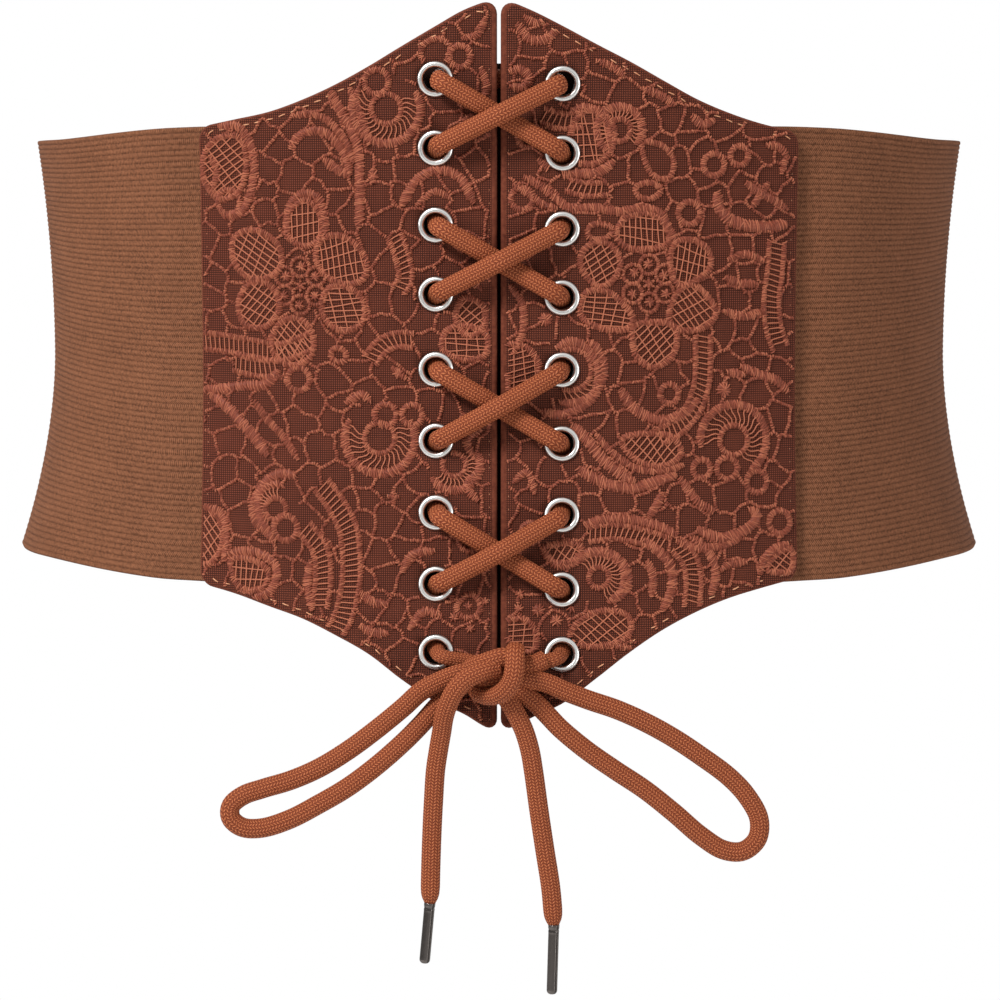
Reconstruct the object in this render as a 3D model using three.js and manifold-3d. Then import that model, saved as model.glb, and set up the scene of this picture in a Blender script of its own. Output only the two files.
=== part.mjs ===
// A laced corset belt, shown as it is worn. Millimetres, +Z up, the front faces -Y.
// The origin is on the middle axis of the waist, at its narrowest height.
import * as THREE from "three";
import { mergeVertices } from "three/addons/utils/BufferGeometryUtils.js";
import Module from "manifold-3d";

const wasm = await Module();
wasm.setup();

// The worn ring, measured on the body side of the cloth.
const waistHalfWidth = 134;
const waistHalfDepth = 98;
// Exponent of the ring's plan curve: 2 is an ellipse, more is squarer.
const ringFullness = 2.3;
// How much the ring opens from the waist up to flareUpHeight and down to flareDownHeight.
const flareUpHeight = 65;
const flareUpSide = 4.8;
const flareUpFront = 2.5;
const flareDownHeight = 61;
const flareDownSide = 11.5;
const flareDownFront = 4;

// Front panels. Heights are of the corners before they are rounded.
const panelThickness = 2;
const panelGap = 1;
const panelWidth = 86.2;
const peakHeight = 101;
const tipDepth = 102;
const peakCornerRadius = 4.5;
const tipCornerRadius = 3.2;
const outerCornerRadius = 3.8;

// Eyelets, one column on each panel, measured from its centre edge, peak and tip.
const eyeletInset = 17.1;
const eyeletFromPeak = 22.5;
const eyeletFromTip = 21.3;
const eyeletHoleRadius = 3.5;
const eyeletWall = 0.4;
const eyeletFlangeWidth = 0.85;
const eyeletFlangeThickness = 0.5;

// Elastic round the sides and back, lapped behind the panels' outer edges.
const elasticThickness = 1.5;
const elasticRise = 66.3;
const elasticFall = 62.4;
// How much lower its top edge, and how much higher its bottom edge, is round the sides.
const elasticNarrowing = 3.1;
const elasticLap = 10;
const elasticStandOff = 0.4;
// Gap to the panels at the lap, where the facets of both curve differently.
const lapClearance = 0.6;

// Strip behind the opening and the eyelets, ending short of the panels' peaks and tips. It
// hangs behind the cord, and both its edges rise to the backs of the panels.
const placketTab = 4;
const placketRise = 5.5;
const placketThickness = 1.2;
const placketFromPeak = 17.5;
const placketFromTip = 11;
const placketSlantFrom = 14;
const placketSlant = 0.6;

// Lace and bow.
const laceDiameter = 4.8;
const laceBendRadius = 2.75;
const knotFromTip = 15.2;
const knotHalfLength = 10;
const knotHalfHeight = 7;
const knotHalfDepth = 5.8;
const leftLoopReach = 74.9;
const leftLoopDrop = 42.4;
const rightLoopReach = 72.7;
const rightLoopDrop = 48.9;
const leftTailDrop = 63.7;
const leftTailReach = 19.3;
const rightTailDrop = 69.9;
const rightTailReach = 15.4;
const leftAgletLength = 16.9;
const rightAgletLength = 19.4;
const agletDiameter = 3;

// Left free between two pieces that would touch.
const clearance = 0.3;

const eyeletTopHeight = peakHeight - eyeletFromPeak;
const eyeletColumnHeight = eyeletTopHeight + tipDepth - eyeletFromTip;
const placketTop = peakHeight - placketFromPeak;
const placketBottom = tipDepth - placketFromTip;
const knotDrop = tipDepth - knotFromTip;
const laceRadius = laceDiameter / 2;
const laceSides = 8;
const flangeTop = panelThickness + clearance + eyeletFlangeThickness;
const flangeBottom = -clearance - eyeletFlangeThickness;

// The panels' outlines, read from the centre edge outwards. The two differ a little.
// out is a share of panelWidth, top of peakHeight, bottom of tipDepth.
const panelOutline = [
  { out: 0, topLeft: 1.001, topRight: 1, bottomLeft: 1, bottomRight: 1 },
  { out: 0.04, topLeft: 0.99, topRight: 0.988, bottomLeft: 0.989, bottomRight: 0.99 },
  { out: 0.11, topLeft: 0.967, topRight: 0.963, bottomLeft: 0.954, bottomRight: 0.961 },
  { out: 0.2, topLeft: 0.924, topRight: 0.925, bottomLeft: 0.922, bottomRight: 0.927 },
  { out: 0.31, topLeft: 0.87, topRight: 0.876, bottomLeft: 0.863, bottomRight: 0.86 },
  { out: 0.42, topLeft: 0.815, topRight: 0.829, bottomLeft: 0.794, bottomRight: 0.79 },
  { out: 0.53, topLeft: 0.766, topRight: 0.778, bottomLeft: 0.744, bottomRight: 0.73 },
  { out: 0.64, topLeft: 0.726, topRight: 0.729, bottomLeft: 0.701, bottomRight: 0.684 },
  { out: 0.75, topLeft: 0.695, topRight: 0.692, bottomLeft: 0.671, bottomRight: 0.649 },
  { out: 0.87, topLeft: 0.675, topRight: 0.662, bottomLeft: 0.639, bottomRight: 0.623 },
  { out: 1, topLeft: 0.655, topRight: 0.641, bottomLeft: 0.614, bottomRight: 0.6 }
];

// Where the eyelets sit, from the top row down, as shares of eyeletColumnHeight.
const eyeletPlaces = [
  { left: -0.004, right: 0.004 },
  { left: 0.115, right: 0.124 },
  { left: 0.249, right: 0.256 },
  { left: 0.37, right: 0.376 },
  { left: 0.502, right: 0.503 },
  { left: 0.628, right: 0.633 },
  { left: 0.754, right: 0.758 },
  { left: 0.879, right: 0.889 },
  { left: 0.998, right: 1.002 }
];

// Routes of the bow from the knot and, for a loop, back to it. across is a share of the
// reach, down of the drop, out is the distance in front of the panels in lace diameters.
const leftLoopRoute = [
  { across: 0.011, down: -0.06, out: 1.56 },
  { across: 0.081, down: -0.057, out: 1.56 },
  { across: 0.148, down: -0.039, out: 1.51 },
  { across: 0.219, down: 0.011, out: 1.29 },
  { across: 0.287, down: 0.079, out: 1.14 },
  { across: 0.356, down: 0.191, out: 0.99 },
  { across: 0.461, down: 0.346, out: 0.83 },
  { across: 0.566, down: 0.485, out: 0.72 },
  { across: 0.671, down: 0.599, out: 0.66 },
  { across: 0.775, down: 0.68, out: 0.62 },
  { across: 0.88, down: 0.736, out: 0.62 },
  { across: 0.955, down: 0.783, out: 0.62 },
  { across: 1, down: 0.853, out: 0.62 },
  { across: 1, down: 0.933, out: 0.62 },
  { across: 0.959, down: 0.993, out: 0.62 },
  { across: 0.888, down: 1, out: 0.62 },
  { across: 0.783, down: 0.942, out: 0.66 },
  { across: 0.671, down: 0.838, out: 0.7 },
  { across: 0.566, down: 0.728, out: 0.72 },
  { across: 0.462, down: 0.591, out: 0.74 },
  { across: 0.357, down: 0.428, out: 0.74 },
  { across: 0.29, down: 0.308, out: 0.74 },
  { across: 0.223, down: 0.175, out: 0.74 },
  { across: 0.156, down: 0.069, out: 0.74 },
  { across: 0.074, down: -0.015, out: 0.83 }
];
const rightLoopRoute = [
  { across: 0.011, down: -0.027, out: 1.43 },
  { across: 0.061, down: -0.019, out: 1.43 },
  { across: 0.114, down: -0.004, out: 1.41 },
  { across: 0.181, down: 0.021, out: 1.24 },
  { across: 0.252, down: 0.069, out: 1.12 },
  { across: 0.344, down: 0.122, out: 1.04 },
  { across: 0.452, down: 0.178, out: 0.95 },
  { across: 0.559, down: 0.251, out: 0.87 },
  { across: 0.667, down: 0.341, out: 0.79 },
  { across: 0.775, down: 0.449, out: 0.7 },
  { across: 0.884, down: 0.571, out: 0.64 },
  { across: 0.953, down: 0.682, out: 0.62 },
  { across: 1, down: 0.815, out: 0.62 },
  { across: 0.993, down: 0.93, out: 0.62 },
  { across: 0.939, down: 1, out: 0.62 },
  { across: 0.866, down: 0.994, out: 0.62 },
  { across: 0.777, down: 0.911, out: 0.7 },
  { across: 0.669, down: 0.771, out: 0.79 },
  { across: 0.559, down: 0.64, out: 0.83 },
  { across: 0.445, down: 0.526, out: 0.91 },
  { across: 0.335, down: 0.41, out: 0.99 },
  { across: 0.235, down: 0.285, out: 1.04 },
  { across: 0.182, down: 0.202, out: 1.04 },
  { across: 0.134, down: 0.129, out: 1.1 },
  { across: 0.084, down: 0.071, out: 1.16 },
  { across: 0.027, down: 0.016, out: 1.24 }
];
const leftTailRoute = [
  { across: 0, down: -0.064, out: 2.2 },
  { across: 0.214, down: -0.052, out: 2.45 },
  { across: 0.485, down: -0.011, out: 2.54 },
  { across: 0.635, down: 0.041, out: 2.41 },
  { across: 0.737, down: 0.107, out: 2.12 },
  { across: 0.791, down: 0.164, out: 1.79 },
  { across: 0.822, down: 0.225, out: 1.45 },
  { across: 0.871, down: 0.312, out: 1.2 },
  { across: 0.915, down: 0.403, out: 1.04 },
  { across: 0.945, down: 0.538, out: 0.87 },
  { across: 0.968, down: 0.673, out: 0.74 },
  { across: 0.987, down: 0.83, out: 0.64 },
  { across: 1, down: 1, out: 0.62 }
];
const rightTailRoute = [
  { across: 0, down: 0.033, out: 1.45 },
  { across: 0.135, down: 0.071, out: 1.45 },
  { across: 0.288, down: 0.129, out: 1.43 },
  { across: 0.442, down: 0.199, out: 1.29 },
  { across: 0.559, down: 0.285, out: 1.12 },
  { across: 0.623, down: 0.367, out: 1.04 },
  { across: 0.724, down: 0.53, out: 0.91 },
  { across: 0.834, down: 0.693, out: 0.79 },
  { across: 0.944, down: 0.853, out: 0.68 },
  { across: 1, down: 1, out: 0.62 }
];
// The turn of lace over the front of the knot. across is a share of knotHalfLength to the
// right, up a share of knotHalfHeight, out a share of knotHalfDepth in front of its middle.
const wrapRoute = [
  { across: 0.39, up: 0.9, out: -0.2 },
  { across: 0.44, up: 1.05, out: 0.35 },
  { across: 0.41, up: 0.8, out: 0.8 },
  { across: 0.38, up: 0.4, out: 1 },
  { across: 0.3, up: -0.03, out: 0.95 },
  { across: 0.13, up: -0.4, out: 0.65 },
  { across: -0.12, up: -0.66, out: 0.2 },
  { across: -0.35, up: -0.67, out: -0.2 }
];

function halfWidthAt(z) {
  if (z > 0) {
    return waistHalfWidth + flareUpSide * (z / flareUpHeight) ** 2;
  }
  return waistHalfWidth + flareDownSide * (-z / flareDownHeight) ** 1.8;
}

function halfDepthAt(z) {
  if (z > 0) {
    return waistHalfDepth + flareUpFront * (z / flareUpHeight) ** 2;
  }
  return waistHalfDepth + flareDownFront * (-z / flareDownHeight) ** 1.6;
}

// Running length of half a ring at one height, from the front middle round to the back.
const ringTables = new Map();

function ringAt(z) {
  const key = z.toFixed(3);
  if (!ringTables.has(key)) {
    const a = halfWidthAt(z) + panelThickness;
    const b = halfDepthAt(z) + panelThickness;
    const samples = 900;
    const xs = [0];
    const ys = [-b];
    const lengths = [0];
    for (let i = 1; i <= samples; i += 1) {
      const t = Math.PI * i / samples;
      const c = Math.cos(t);
      xs.push(a * Math.abs(Math.sin(t)) ** (2 / ringFullness));
      ys.push(-b * Math.sign(c) * Math.abs(c) ** (2 / ringFullness));
      lengths.push(lengths[i - 1] + Math.hypot(xs[i] - xs[i - 1], ys[i] - ys[i - 1]));
    }
    ringTables.set(key, { a, b, xs, ys, lengths, half: lengths[samples] });
  }
  return ringTables.get(key);
}

// A point of the worn surface: along is measured on the panels' outer face from the front
// middle (+ to the wearer's left, +X), off is the distance outwards from the body side.
function worn(along, z, off) {
  const ring = ringAt(z);
  let length = along;
  if (length > ring.half) {
    length -= 2 * ring.half;
  }
  const side = length < 0 ? -1 : 1;
  length = Math.min(Math.abs(length), ring.half);
  let low = 0;
  let high = ring.lengths.length - 1;
  while (high - low > 1) {
    const middle = (low + high) >> 1;
    if (ring.lengths[middle] > length) {
      high = middle;
    } else {
      low = middle;
    }
  }
  const share = (length - ring.lengths[low]) / (ring.lengths[high] - ring.lengths[low]);
  const x = ring.xs[low] + share * (ring.xs[high] - ring.xs[low]);
  const y = ring.ys[low] + share * (ring.ys[high] - ring.ys[low]);
  const nx = Math.abs(x / ring.a) ** (ringFullness - 1) / ring.a;
  const ny = Math.sign(y) * Math.abs(y / ring.b) ** (ringFullness - 1) / ring.b;
  const size = Math.hypot(nx, ny);
  const step = off - panelThickness;
  return new THREE.Vector3(side * (x + nx / size * step), y + ny / size * step, z);
}

function wornNormal(along, z) {
  const d = 0.5;
  const across = worn(along + d, z, panelThickness).sub(worn(along - d, z, panelThickness));
  const up = worn(along, z + d, panelThickness).sub(worn(along, z - d, panelThickness));
  return across.cross(up).normalize();
}

// Smooth reading of one column of a table at a place along another.
function readTable(table, at, from, column) {
  let i = 0;
  while (i < table.length - 2 && table[i + 1][from] < at) {
    i += 1;
  }
  const p0 = table[Math.max(i - 1, 0)];
  const p1 = table[i];
  const p2 = table[i + 1];
  const p3 = table[Math.min(i + 2, table.length - 1)];
  const width = p2[from] - p1[from];
  const t = (at - p1[from]) / width;
  const slope1 = (p2[column] - p0[column]) / (p2[from] - p0[from]) * width;
  const slope2 = (p3[column] - p1[column]) / (p3[from] - p1[from]) * width;
  const t2 = t * t;
  const t3 = t2 * t;
  return (2 * t3 - 3 * t2 + 1) * p1[column] + (t3 - 2 * t2 + t) * slope1
    + (3 * t2 - 2 * t3) * p2[column] + (t3 - t2) * slope2;
}

function roundedDrop(distance, radius) {
  if (distance >= radius) {
    return 0;
  }
  return radius - Math.sqrt(Math.max(radius ** 2 - (radius - distance) ** 2, 0));
}

// Height of the panel's edge at a distance out from its centre edge.
function panelTop(out, column) {
  return readTable(panelOutline, out / panelWidth, "out", column) * peakHeight
    - roundedDrop(out, peakCornerRadius) - roundedDrop(panelWidth - out, outerCornerRadius);
}

function panelBottom(out, column) {
  return -readTable(panelOutline, out / panelWidth, "out", column) * tipDepth
    + roundedDrop(out, tipCornerRadius) + roundedDrop(panelWidth - out, outerCornerRadius);
}

// Columns across a panel, closer together where a corner is rounded.
function panelColumns() {
  const columns = [];
  const turns = [0, 25, 50, 75];
  for (const turn of turns) {
    columns.push(peakCornerRadius * (1 - Math.cos(THREE.MathUtils.degToRad(turn))));
  }
  const first = peakCornerRadius * 1.2;
  const last = panelWidth - outerCornerRadius * 1.2;
  const plain = 10;
  for (let i = 0; i <= plain; i += 1) {
    columns.push(first + (last - first) * i / plain);
  }
  for (const turn of turns.slice().reverse()) {
    const inset = outerCornerRadius * (1 - Math.cos(THREE.MathUtils.degToRad(turn)));
    columns.push(panelWidth - inset);
  }
  return columns;
}

function oneSolid(geometry) {
  geometry.deleteAttribute("normal");
  geometry.deleteAttribute("uv");
  const merged = mergeVertices(geometry, 1e-4);
  const position = merged.attributes.position;
  const index = merged.index.array;
  const a = new THREE.Vector3();
  const b = new THREE.Vector3();
  const c = new THREE.Vector3();
  let volume = 0;
  for (let i = 0; i < index.length; i += 3) {
    a.fromBufferAttribute(position, index[i]);
    b.fromBufferAttribute(position, index[i + 1]);
    c.fromBufferAttribute(position, index[i + 2]);
    volume += a.dot(b.cross(c));
  }
  if (volume < 0) {
    for (let i = 0; i < index.length; i += 3) {
      [index[i + 1], index[i + 2]] = [index[i + 2], index[i + 1]];
    }
  }
  return merged;
}

function toManifold(geometry) {
  const solid = oneSolid(geometry);
  return new wasm.Manifold(new wasm.Mesh({
    numProp: 3,
    vertProperties: new Float32Array(solid.attributes.position.array),
    triVerts: new Uint32Array(solid.index.array)
  }));
}

function fromManifold(body) {
  const mesh = body.getMesh();
  const geometry = new THREE.BufferGeometry();
  geometry.setAttribute("position", new THREE.Float32BufferAttribute(mesh.vertProperties, 3));
  geometry.setIndex(Array.from(mesh.triVerts));
  return geometry;
}

// The largest of the bodies that a cut leaves.
function mainBody(body) {
  return body.decompose().reduce((best, one) => (one.volume() > best.volume() ? one : best));
}

// A sheet with thickness. place(u, v, outer) gives the point at a column share u, a height
// share v and outer 1 for the outer face or 0 for the body side.
function sheet(columns, rows, place) {
  const geometry = new THREE.BoxGeometry(1, 1, 1, columns, 1, rows);
  const position = geometry.attributes.position;
  for (let i = 0; i < position.count; i += 1) {
    const p = place(position.getX(i) + 0.5, position.getZ(i) + 0.5, 0.5 - position.getY(i));
    position.setXYZ(i, p.x, p.y, p.z);
  }
  return geometry;
}

// A path whose steps fall on its own points, however they are spaced.
class PointPath extends THREE.CatmullRomCurve3 {
  getPointAt(u, target) {
    return this.getPoint(u, target);
  }

  getTangentAt(u, target) {
    return this.getTangent(u, target);
  }
}

function ringShape(radius, sides) {
  const corners = [];
  for (let i = 0; i < sides; i += 1) {
    const turn = 2 * Math.PI * (i + 0.5) / sides;
    corners.push(new THREE.Vector2(radius * Math.cos(turn), radius * Math.sin(turn)));
  }
  return new THREE.Shape(corners);
}

function tubeOnPoints(points, radius, sides) {
  return new THREE.ExtrudeGeometry(ringShape(radius, sides), {
    steps: points.length - 1,
    bevelEnabled: false,
    extrudePath: new PointPath(points)
  });
}

function tubeInSteps(points, radius, sides, steps) {
  return new THREE.ExtrudeGeometry(ringShape(radius, sides), {
    steps,
    bevelEnabled: false,
    extrudePath: new THREE.CatmullRomCurve3(points)
  });
}

const finishes = {
  panel: { color: 0x8a4a35, roughness: 0.75, metalness: 0 },
  elastic: { color: 0x7d4c36, roughness: 0.85, metalness: 0 },
  placket: { color: 0x3a1f18, roughness: 0.8, metalness: 0 },
  eyelet: { color: 0xd8d8da, roughness: 0.25, metalness: 1 },
  lace: { color: 0xa85a32, roughness: 0.7, metalness: 0 },
  aglet: { color: 0x55504e, roughness: 0.3, metalness: 1 }
};

const belt = new THREE.Group();
belt.name = "corset_belt";

function addPiece(name, geometry, finish) {
  const mesh = new THREE.Mesh(oneSolid(geometry), new THREE.MeshStandardMaterial(finishes[finish]));
  mesh.name = name;
  belt.add(mesh);
}

// Front panels: curved plates with a row of holes.
const columnPlaces = panelColumns();
const panelRows = 7;

const eyeletRows = eyeletPlaces.length;

function eyeletHeight(side, row) {
  const place = eyeletPlaces[row - 1][side < 0 ? "left" : "right"];
  return eyeletTopHeight - eyeletColumnHeight * place;
}

function onAxis(geometry, along, z) {
  const turn = new THREE.Quaternion();
  turn.setFromUnitVectors(new THREE.Vector3(0, 1, 0), wornNormal(along, z));
  geometry.applyQuaternion(turn);
  const at = worn(along, z, 0);
  geometry.translate(at.x, at.y, at.z);
  return geometry;
}

const eyeletAlong = panelGap / 2 + eyeletInset;
const barrelRadius = eyeletHoleRadius + eyeletWall;

for (const [name, side] of [["left", -1], ["right", 1]]) {
  const half = side < 0 ? "Left" : "Right";
  const plate = sheet(columnPlaces.length - 1, panelRows, (u, v, outer) => {
    const i = Math.round(u * (columnPlaces.length - 1));
    const out = side > 0 ? columnPlaces[i] : columnPlaces[columnPlaces.length - 1 - i];
    const bottom = panelBottom(out, "bottom" + half);
    const z = bottom + v * (panelTop(out, "top" + half) - bottom);
    return worn(side * (panelGap / 2 + out), z, outer * panelThickness);
  });
  let body = toManifold(plate);
  for (let row = 1; row <= eyeletRows; row += 1) {
    const drill = new THREE.CylinderGeometry(
      barrelRadius + clearance, barrelRadius + clearance, panelThickness * 6, 12
    );
    body = body.subtract(toManifold(onAxis(drill, side * eyeletAlong, eyeletHeight(side, row))));
  }
  addPiece("panel_" + name, fromManifold(body), "panel");
}

// Elastic: one strip from behind one panel round the back to behind the other.
const lapAlong = panelGap / 2 + panelWidth - elasticLap;
const elasticColumns = 44;

addPiece("elastic_band", sheet(elasticColumns, 6, (u, v, outer) => {
  // Steps are short over the lap and its rise at both ends, even between them.
  const fromEnd = Math.min(u, 1 - u) * elasticColumns;
  const lapSteps = 6;
  const lapLength = elasticLap + 18;
  const narrowing = elasticNarrowing * THREE.MathUtils.smoothstep(fromEnd, 1, lapSteps * 1.8);
  const height = elasticRise + elasticFall - 2 * narrowing;
  const z = -elasticFall + narrowing + v * height;
  const run = 2 * (ringAt(z).half - lapAlong);
  let along = fromEnd / lapSteps * lapLength;
  if (fromEnd > lapSteps) {
    const share = (fromEnd - lapSteps) / (elasticColumns / 2 - lapSteps);
    along = lapLength + share * (run / 2 - lapLength);
  }
  const rise = THREE.MathUtils.smoothstep(along, elasticLap + 1, elasticLap + 15);
  const tucked = -lapClearance - elasticThickness;
  const body = tucked + rise * (elasticStandOff - tucked);
  const place = u < 0.5 ? lapAlong + along : lapAlong + run - along;
  return worn(place, z, body + outer * elasticThickness);
}), "elastic");

// Placket: flat behind the cord, then a slope on each side up to a tab on the panel's back.
const placketFlat = eyeletAlong + barrelRadius + eyeletFlangeWidth + clearance;
const placketDepth = flangeBottom - clearance - laceDiameter - clearance;
const placketSteps = [
  { reach: 0, depth: 1 },
  { reach: placketFlat / 2, depth: 1 },
  { reach: placketFlat, depth: 1 },
  { reach: placketFlat + placketRise * 0.25, depth: 0.84 },
  { reach: placketFlat + placketRise * 0.75, depth: 0.16 },
  { reach: placketFlat + placketRise, depth: 0 },
  { reach: placketFlat + placketRise + placketTab, depth: 0 }
];
const placketSide = placketSteps.length - 1;

addPiece("placket", sheet(2 * placketSide, 8, (u, v, outer) => {
  const reach = placketSteps[Math.abs(Math.round(u * 2 * placketSide) - placketSide)].reach;
  const low = placketBottom - Math.max(0, reach - placketSlantFrom) * placketSlant;
  const z = -low + v * (placketTop + low);
  const i = Math.round(u * 2 * placketSide) - placketSide;
  const step = placketSteps[Math.abs(i)];
  const face = -clearance + step.depth * (placketDepth + clearance);
  return worn(Math.sign(i) * step.reach, z, face - placketThickness + outer * placketThickness);
}), "placket");

// Eyelets: a barrel through the panel with a sloped flange on each face.
for (const [name, side] of [["left", -1], ["right", 1]]) {
  for (let row = 1; row <= eyeletRows; row += 1) {
    const flangeRadius = barrelRadius + eyeletFlangeWidth;
    const profile = [
      [eyeletHoleRadius, flangeBottom],
      [eyeletHoleRadius, flangeTop],
      [flangeRadius, panelThickness + clearance],
      [barrelRadius, panelThickness + clearance],
      [barrelRadius, -clearance],
      [flangeRadius, -clearance],
      [eyeletHoleRadius, flangeBottom]
    ].map(([radius, height]) => new THREE.Vector2(radius, height));
    const ring = new THREE.LatheGeometry(profile, 12);
    const along = side * eyeletAlong;
    addPiece("eyelet_" + name + "_" + row, onAxis(ring, along, eyeletHeight(side, row)), "eyelet");
  }
}

// The knot: a fat barrel of lace lying across, with one turn over its front.
const knotFaceY = worn(0, -knotDrop, panelThickness).y;
const knotMiddle = new THREE.Vector3(0, knotFaceY - clearance - knotHalfDepth - 1, -knotDrop);

function knotBody(grow) {
  const profile = [
    [0, -knotHalfLength - grow],
    [0.7 + grow / knotHalfHeight, -knotHalfLength - grow],
    [1 + grow / knotHalfHeight, -knotHalfLength * 0.8 - grow],
    [1 + grow / knotHalfHeight, knotHalfLength * 0.8 + grow],
    [0.7 + grow / knotHalfHeight, knotHalfLength + grow],
    [0, knotHalfLength + grow]
  ].map(([radius, height]) => new THREE.Vector2(radius, height));
  const core = new THREE.LatheGeometry(profile, 14);
  core.rotateZ(-Math.PI / 2);
  core.scale(1, knotHalfDepth, knotHalfHeight);
  core.translate(knotMiddle.x, knotMiddle.y, knotMiddle.z);
  const turns = wrapRoute.map((row) => new THREE.Vector3(
    knotMiddle.x + row.across * knotHalfLength,
    knotMiddle.y - row.out * knotHalfDepth,
    knotMiddle.z + row.up * knotHalfHeight
  ));
  const wrap = tubeInSteps(turns, laceRadius + grow, laceSides, 14);
  return toManifold(core).add(toManifold(wrap));
}

const knotRoom = knotBody(clearance * 1.2);
addPiece("bow_knot", fromManifold(knotBody(0)), "lace");

// Lacing: one cord from the knot up through every eyelet and back down to the knot.
const holeSlack = eyeletHoleRadius - laceRadius - clearance;
const frontOff = flangeTop + clearance + laceRadius;
const backOff = flangeBottom - clearance - laceRadius;
const crossingUnder = panelThickness + clearance + laceRadius;
const crossingOver = crossingUnder + laceDiameter + clearance;

// The cord's bend at one face of an eyelet, from the flat run into the hole.
function eyeletBend(along, z, towards, flatOff) {
  const sign = Math.sign(flatOff);
  const rows = [];
  for (const turn of [0, 30, 60, 90]) {
    const angle = THREE.MathUtils.degToRad(turn);
    const reach = holeSlack + laceBendRadius * (1 - Math.sin(angle));
    const off = flatOff - sign * laceBendRadius * (1 - Math.cos(angle));
    rows.push([along + towards.x * reach, z + towards.y * reach, off]);
  }
  return rows;
}

// Eyelets in the order that one half of the cord takes, from the top row down. The first
// entry is the side that it starts from, and every second row it changes sides in front.
function halfLacing(firstSide) {
  const rows = [];
  let side = firstSide;
  for (let row = 1; row <= eyeletRows; row += 1) {
    const z = eyeletHeight(side, row);
    const along = side * eyeletAlong;
    const towardsUp = new THREE.Vector2(0, 1);
    const towardsDown = new THREE.Vector2(0, -1);
    if (row % 2 === 1 && row < eyeletRows) {
      const fall = z - eyeletHeight(-side, row + 1);
      const slant = new THREE.Vector2(-side * 2 * eyeletAlong, -fall).normalize();
      const from = row === 1 ? new THREE.Vector2(-side, 0) : towardsUp;
      rows.push(...eyeletBend(along, z, from, backOff));
      rows.push(...eyeletBend(along, z, slant, frontOff).reverse());
      // The cord that falls to the left as it goes down lies on top at the crossing.
      const over = side > 0;
      const middleOff = over ? crossingOver : crossingUnder;
      for (const share of [0.36, 0.5, 0.64]) {
        const near = Math.abs(share - 0.5) < 0.01;
        const off = near ? middleOff : middleOff + (frontOff - middleOff) * 0.3;
        rows.push([along * (1 - 2 * share), z - fall * share, off]);
      }
      side = -side;
    } else if (row < eyeletRows) {
      const rise = eyeletHeight(-side, row - 1) - z;
      const slantUp = new THREE.Vector2(-side * 2 * eyeletAlong, rise).normalize();
      rows.push(...eyeletBend(along, z, slantUp, frontOff));
      rows.push(...eyeletBend(along, z, towardsDown, backOff).reverse());
    } else {
      const toKnot = new THREE.Vector2(-side, -0.28).normalize();
      rows.push(...eyeletBend(along, z, towardsUp, backOff));
      rows.push(...eyeletBend(along, z, toKnot, frontOff).reverse());
      const fall = z + knotDrop;
      rows.push([side * knotHalfLength * 0.95, z - fall * 0.25, frontOff - 0.2]);
      rows.push([side * knotHalfLength * 0.4, z - fall * 0.4, frontOff - 0.1]);
    }
  }
  return rows;
}

const fromLeft = halfLacing(-1);
const fromRight = halfLacing(1);
const bar = [];
for (const share of [-0.45, 0, 0.45]) {
  const z = (eyeletHeight(-1, 1) + eyeletHeight(1, 1)) / 2;
  bar.push([share * eyeletAlong, z, backOff]);
}
const lacingPoints = [...fromLeft.reverse(), ...bar, ...fromRight]
  .map(([along, z, off]) => worn(along, z, off));
const lacing = toManifold(tubeOnPoints(lacingPoints, laceRadius, laceSides)).subtract(knotRoom);
addPiece("lacing", fromManifold(mainBody(lacing)), "lace");

// Loops and tails of the bow, cut off just short of the knot.
function bowRoute(route, side, reach, drop) {
  return route.map((row) => new THREE.Vector3(
    side * row.across * reach,
    knotFaceY - row.out * laceDiameter,
    -knotDrop - row.down * drop
  ));
}

function bowStrand(name, points, steps) {
  const strand = toManifold(tubeInSteps(points, laceRadius, laceSides, steps));
  addPiece(name, fromManifold(mainBody(strand.subtract(knotRoom))), "lace");
}

bowStrand("bow_loop_left", bowRoute(leftLoopRoute, -1, leftLoopReach, leftLoopDrop), 34);
bowStrand("bow_loop_right", bowRoute(rightLoopRoute, 1, rightLoopReach, rightLoopDrop), 34);

const tails = [
  { name: "left", route: leftTailRoute, side: -1, reach: leftTailReach, drop: leftTailDrop,
    aglet: leftAgletLength, lean: -0.09 },
  { name: "right", route: rightTailRoute, side: 1, reach: rightTailReach, drop: rightTailDrop,
    aglet: rightAgletLength, lean: -0.03 }
];
for (const tail of tails) {
  const points = bowRoute(tail.route, tail.side, tail.reach, tail.drop);
  bowStrand("lace_tail_" + tail.name, points, 14);
  const end = points[points.length - 1];
  const rod = new THREE.CylinderGeometry(agletDiameter / 2, agletDiameter / 2, tail.aglet, 12);
  rod.translate(0, -tail.aglet / 2 - clearance * 1.4, 0);
  rod.rotateX(Math.PI / 2);
  rod.rotateY(-tail.lean);
  rod.translate(end.x, end.y, end.z);
  addPiece("aglet_" + tail.name, rod, "aglet");
}

export default belt;
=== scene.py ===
# %% [markdown]
# # A laced corset belt
# This lesson dresses a corset belt that stands open, as if a waist were inside it.
# It has two stiff front panels covered with corded lace, a broad ribbed elastic band
# round the sides and back, nine pairs of metal eyelets, and one braided cord that is
# laced through them and tied in a bow.
# The frame gives the belt's plain solids. Every piece made here stands for one of
# them, in the same place and in metres. Sizes below are written in millimetres,
# because that is how a belt maker would measure them.

# %% The frame
import math

import bmesh
import bpy
import numpy as np
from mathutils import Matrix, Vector
from mathutils.geometry import delaunay_2d_cdt


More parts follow.
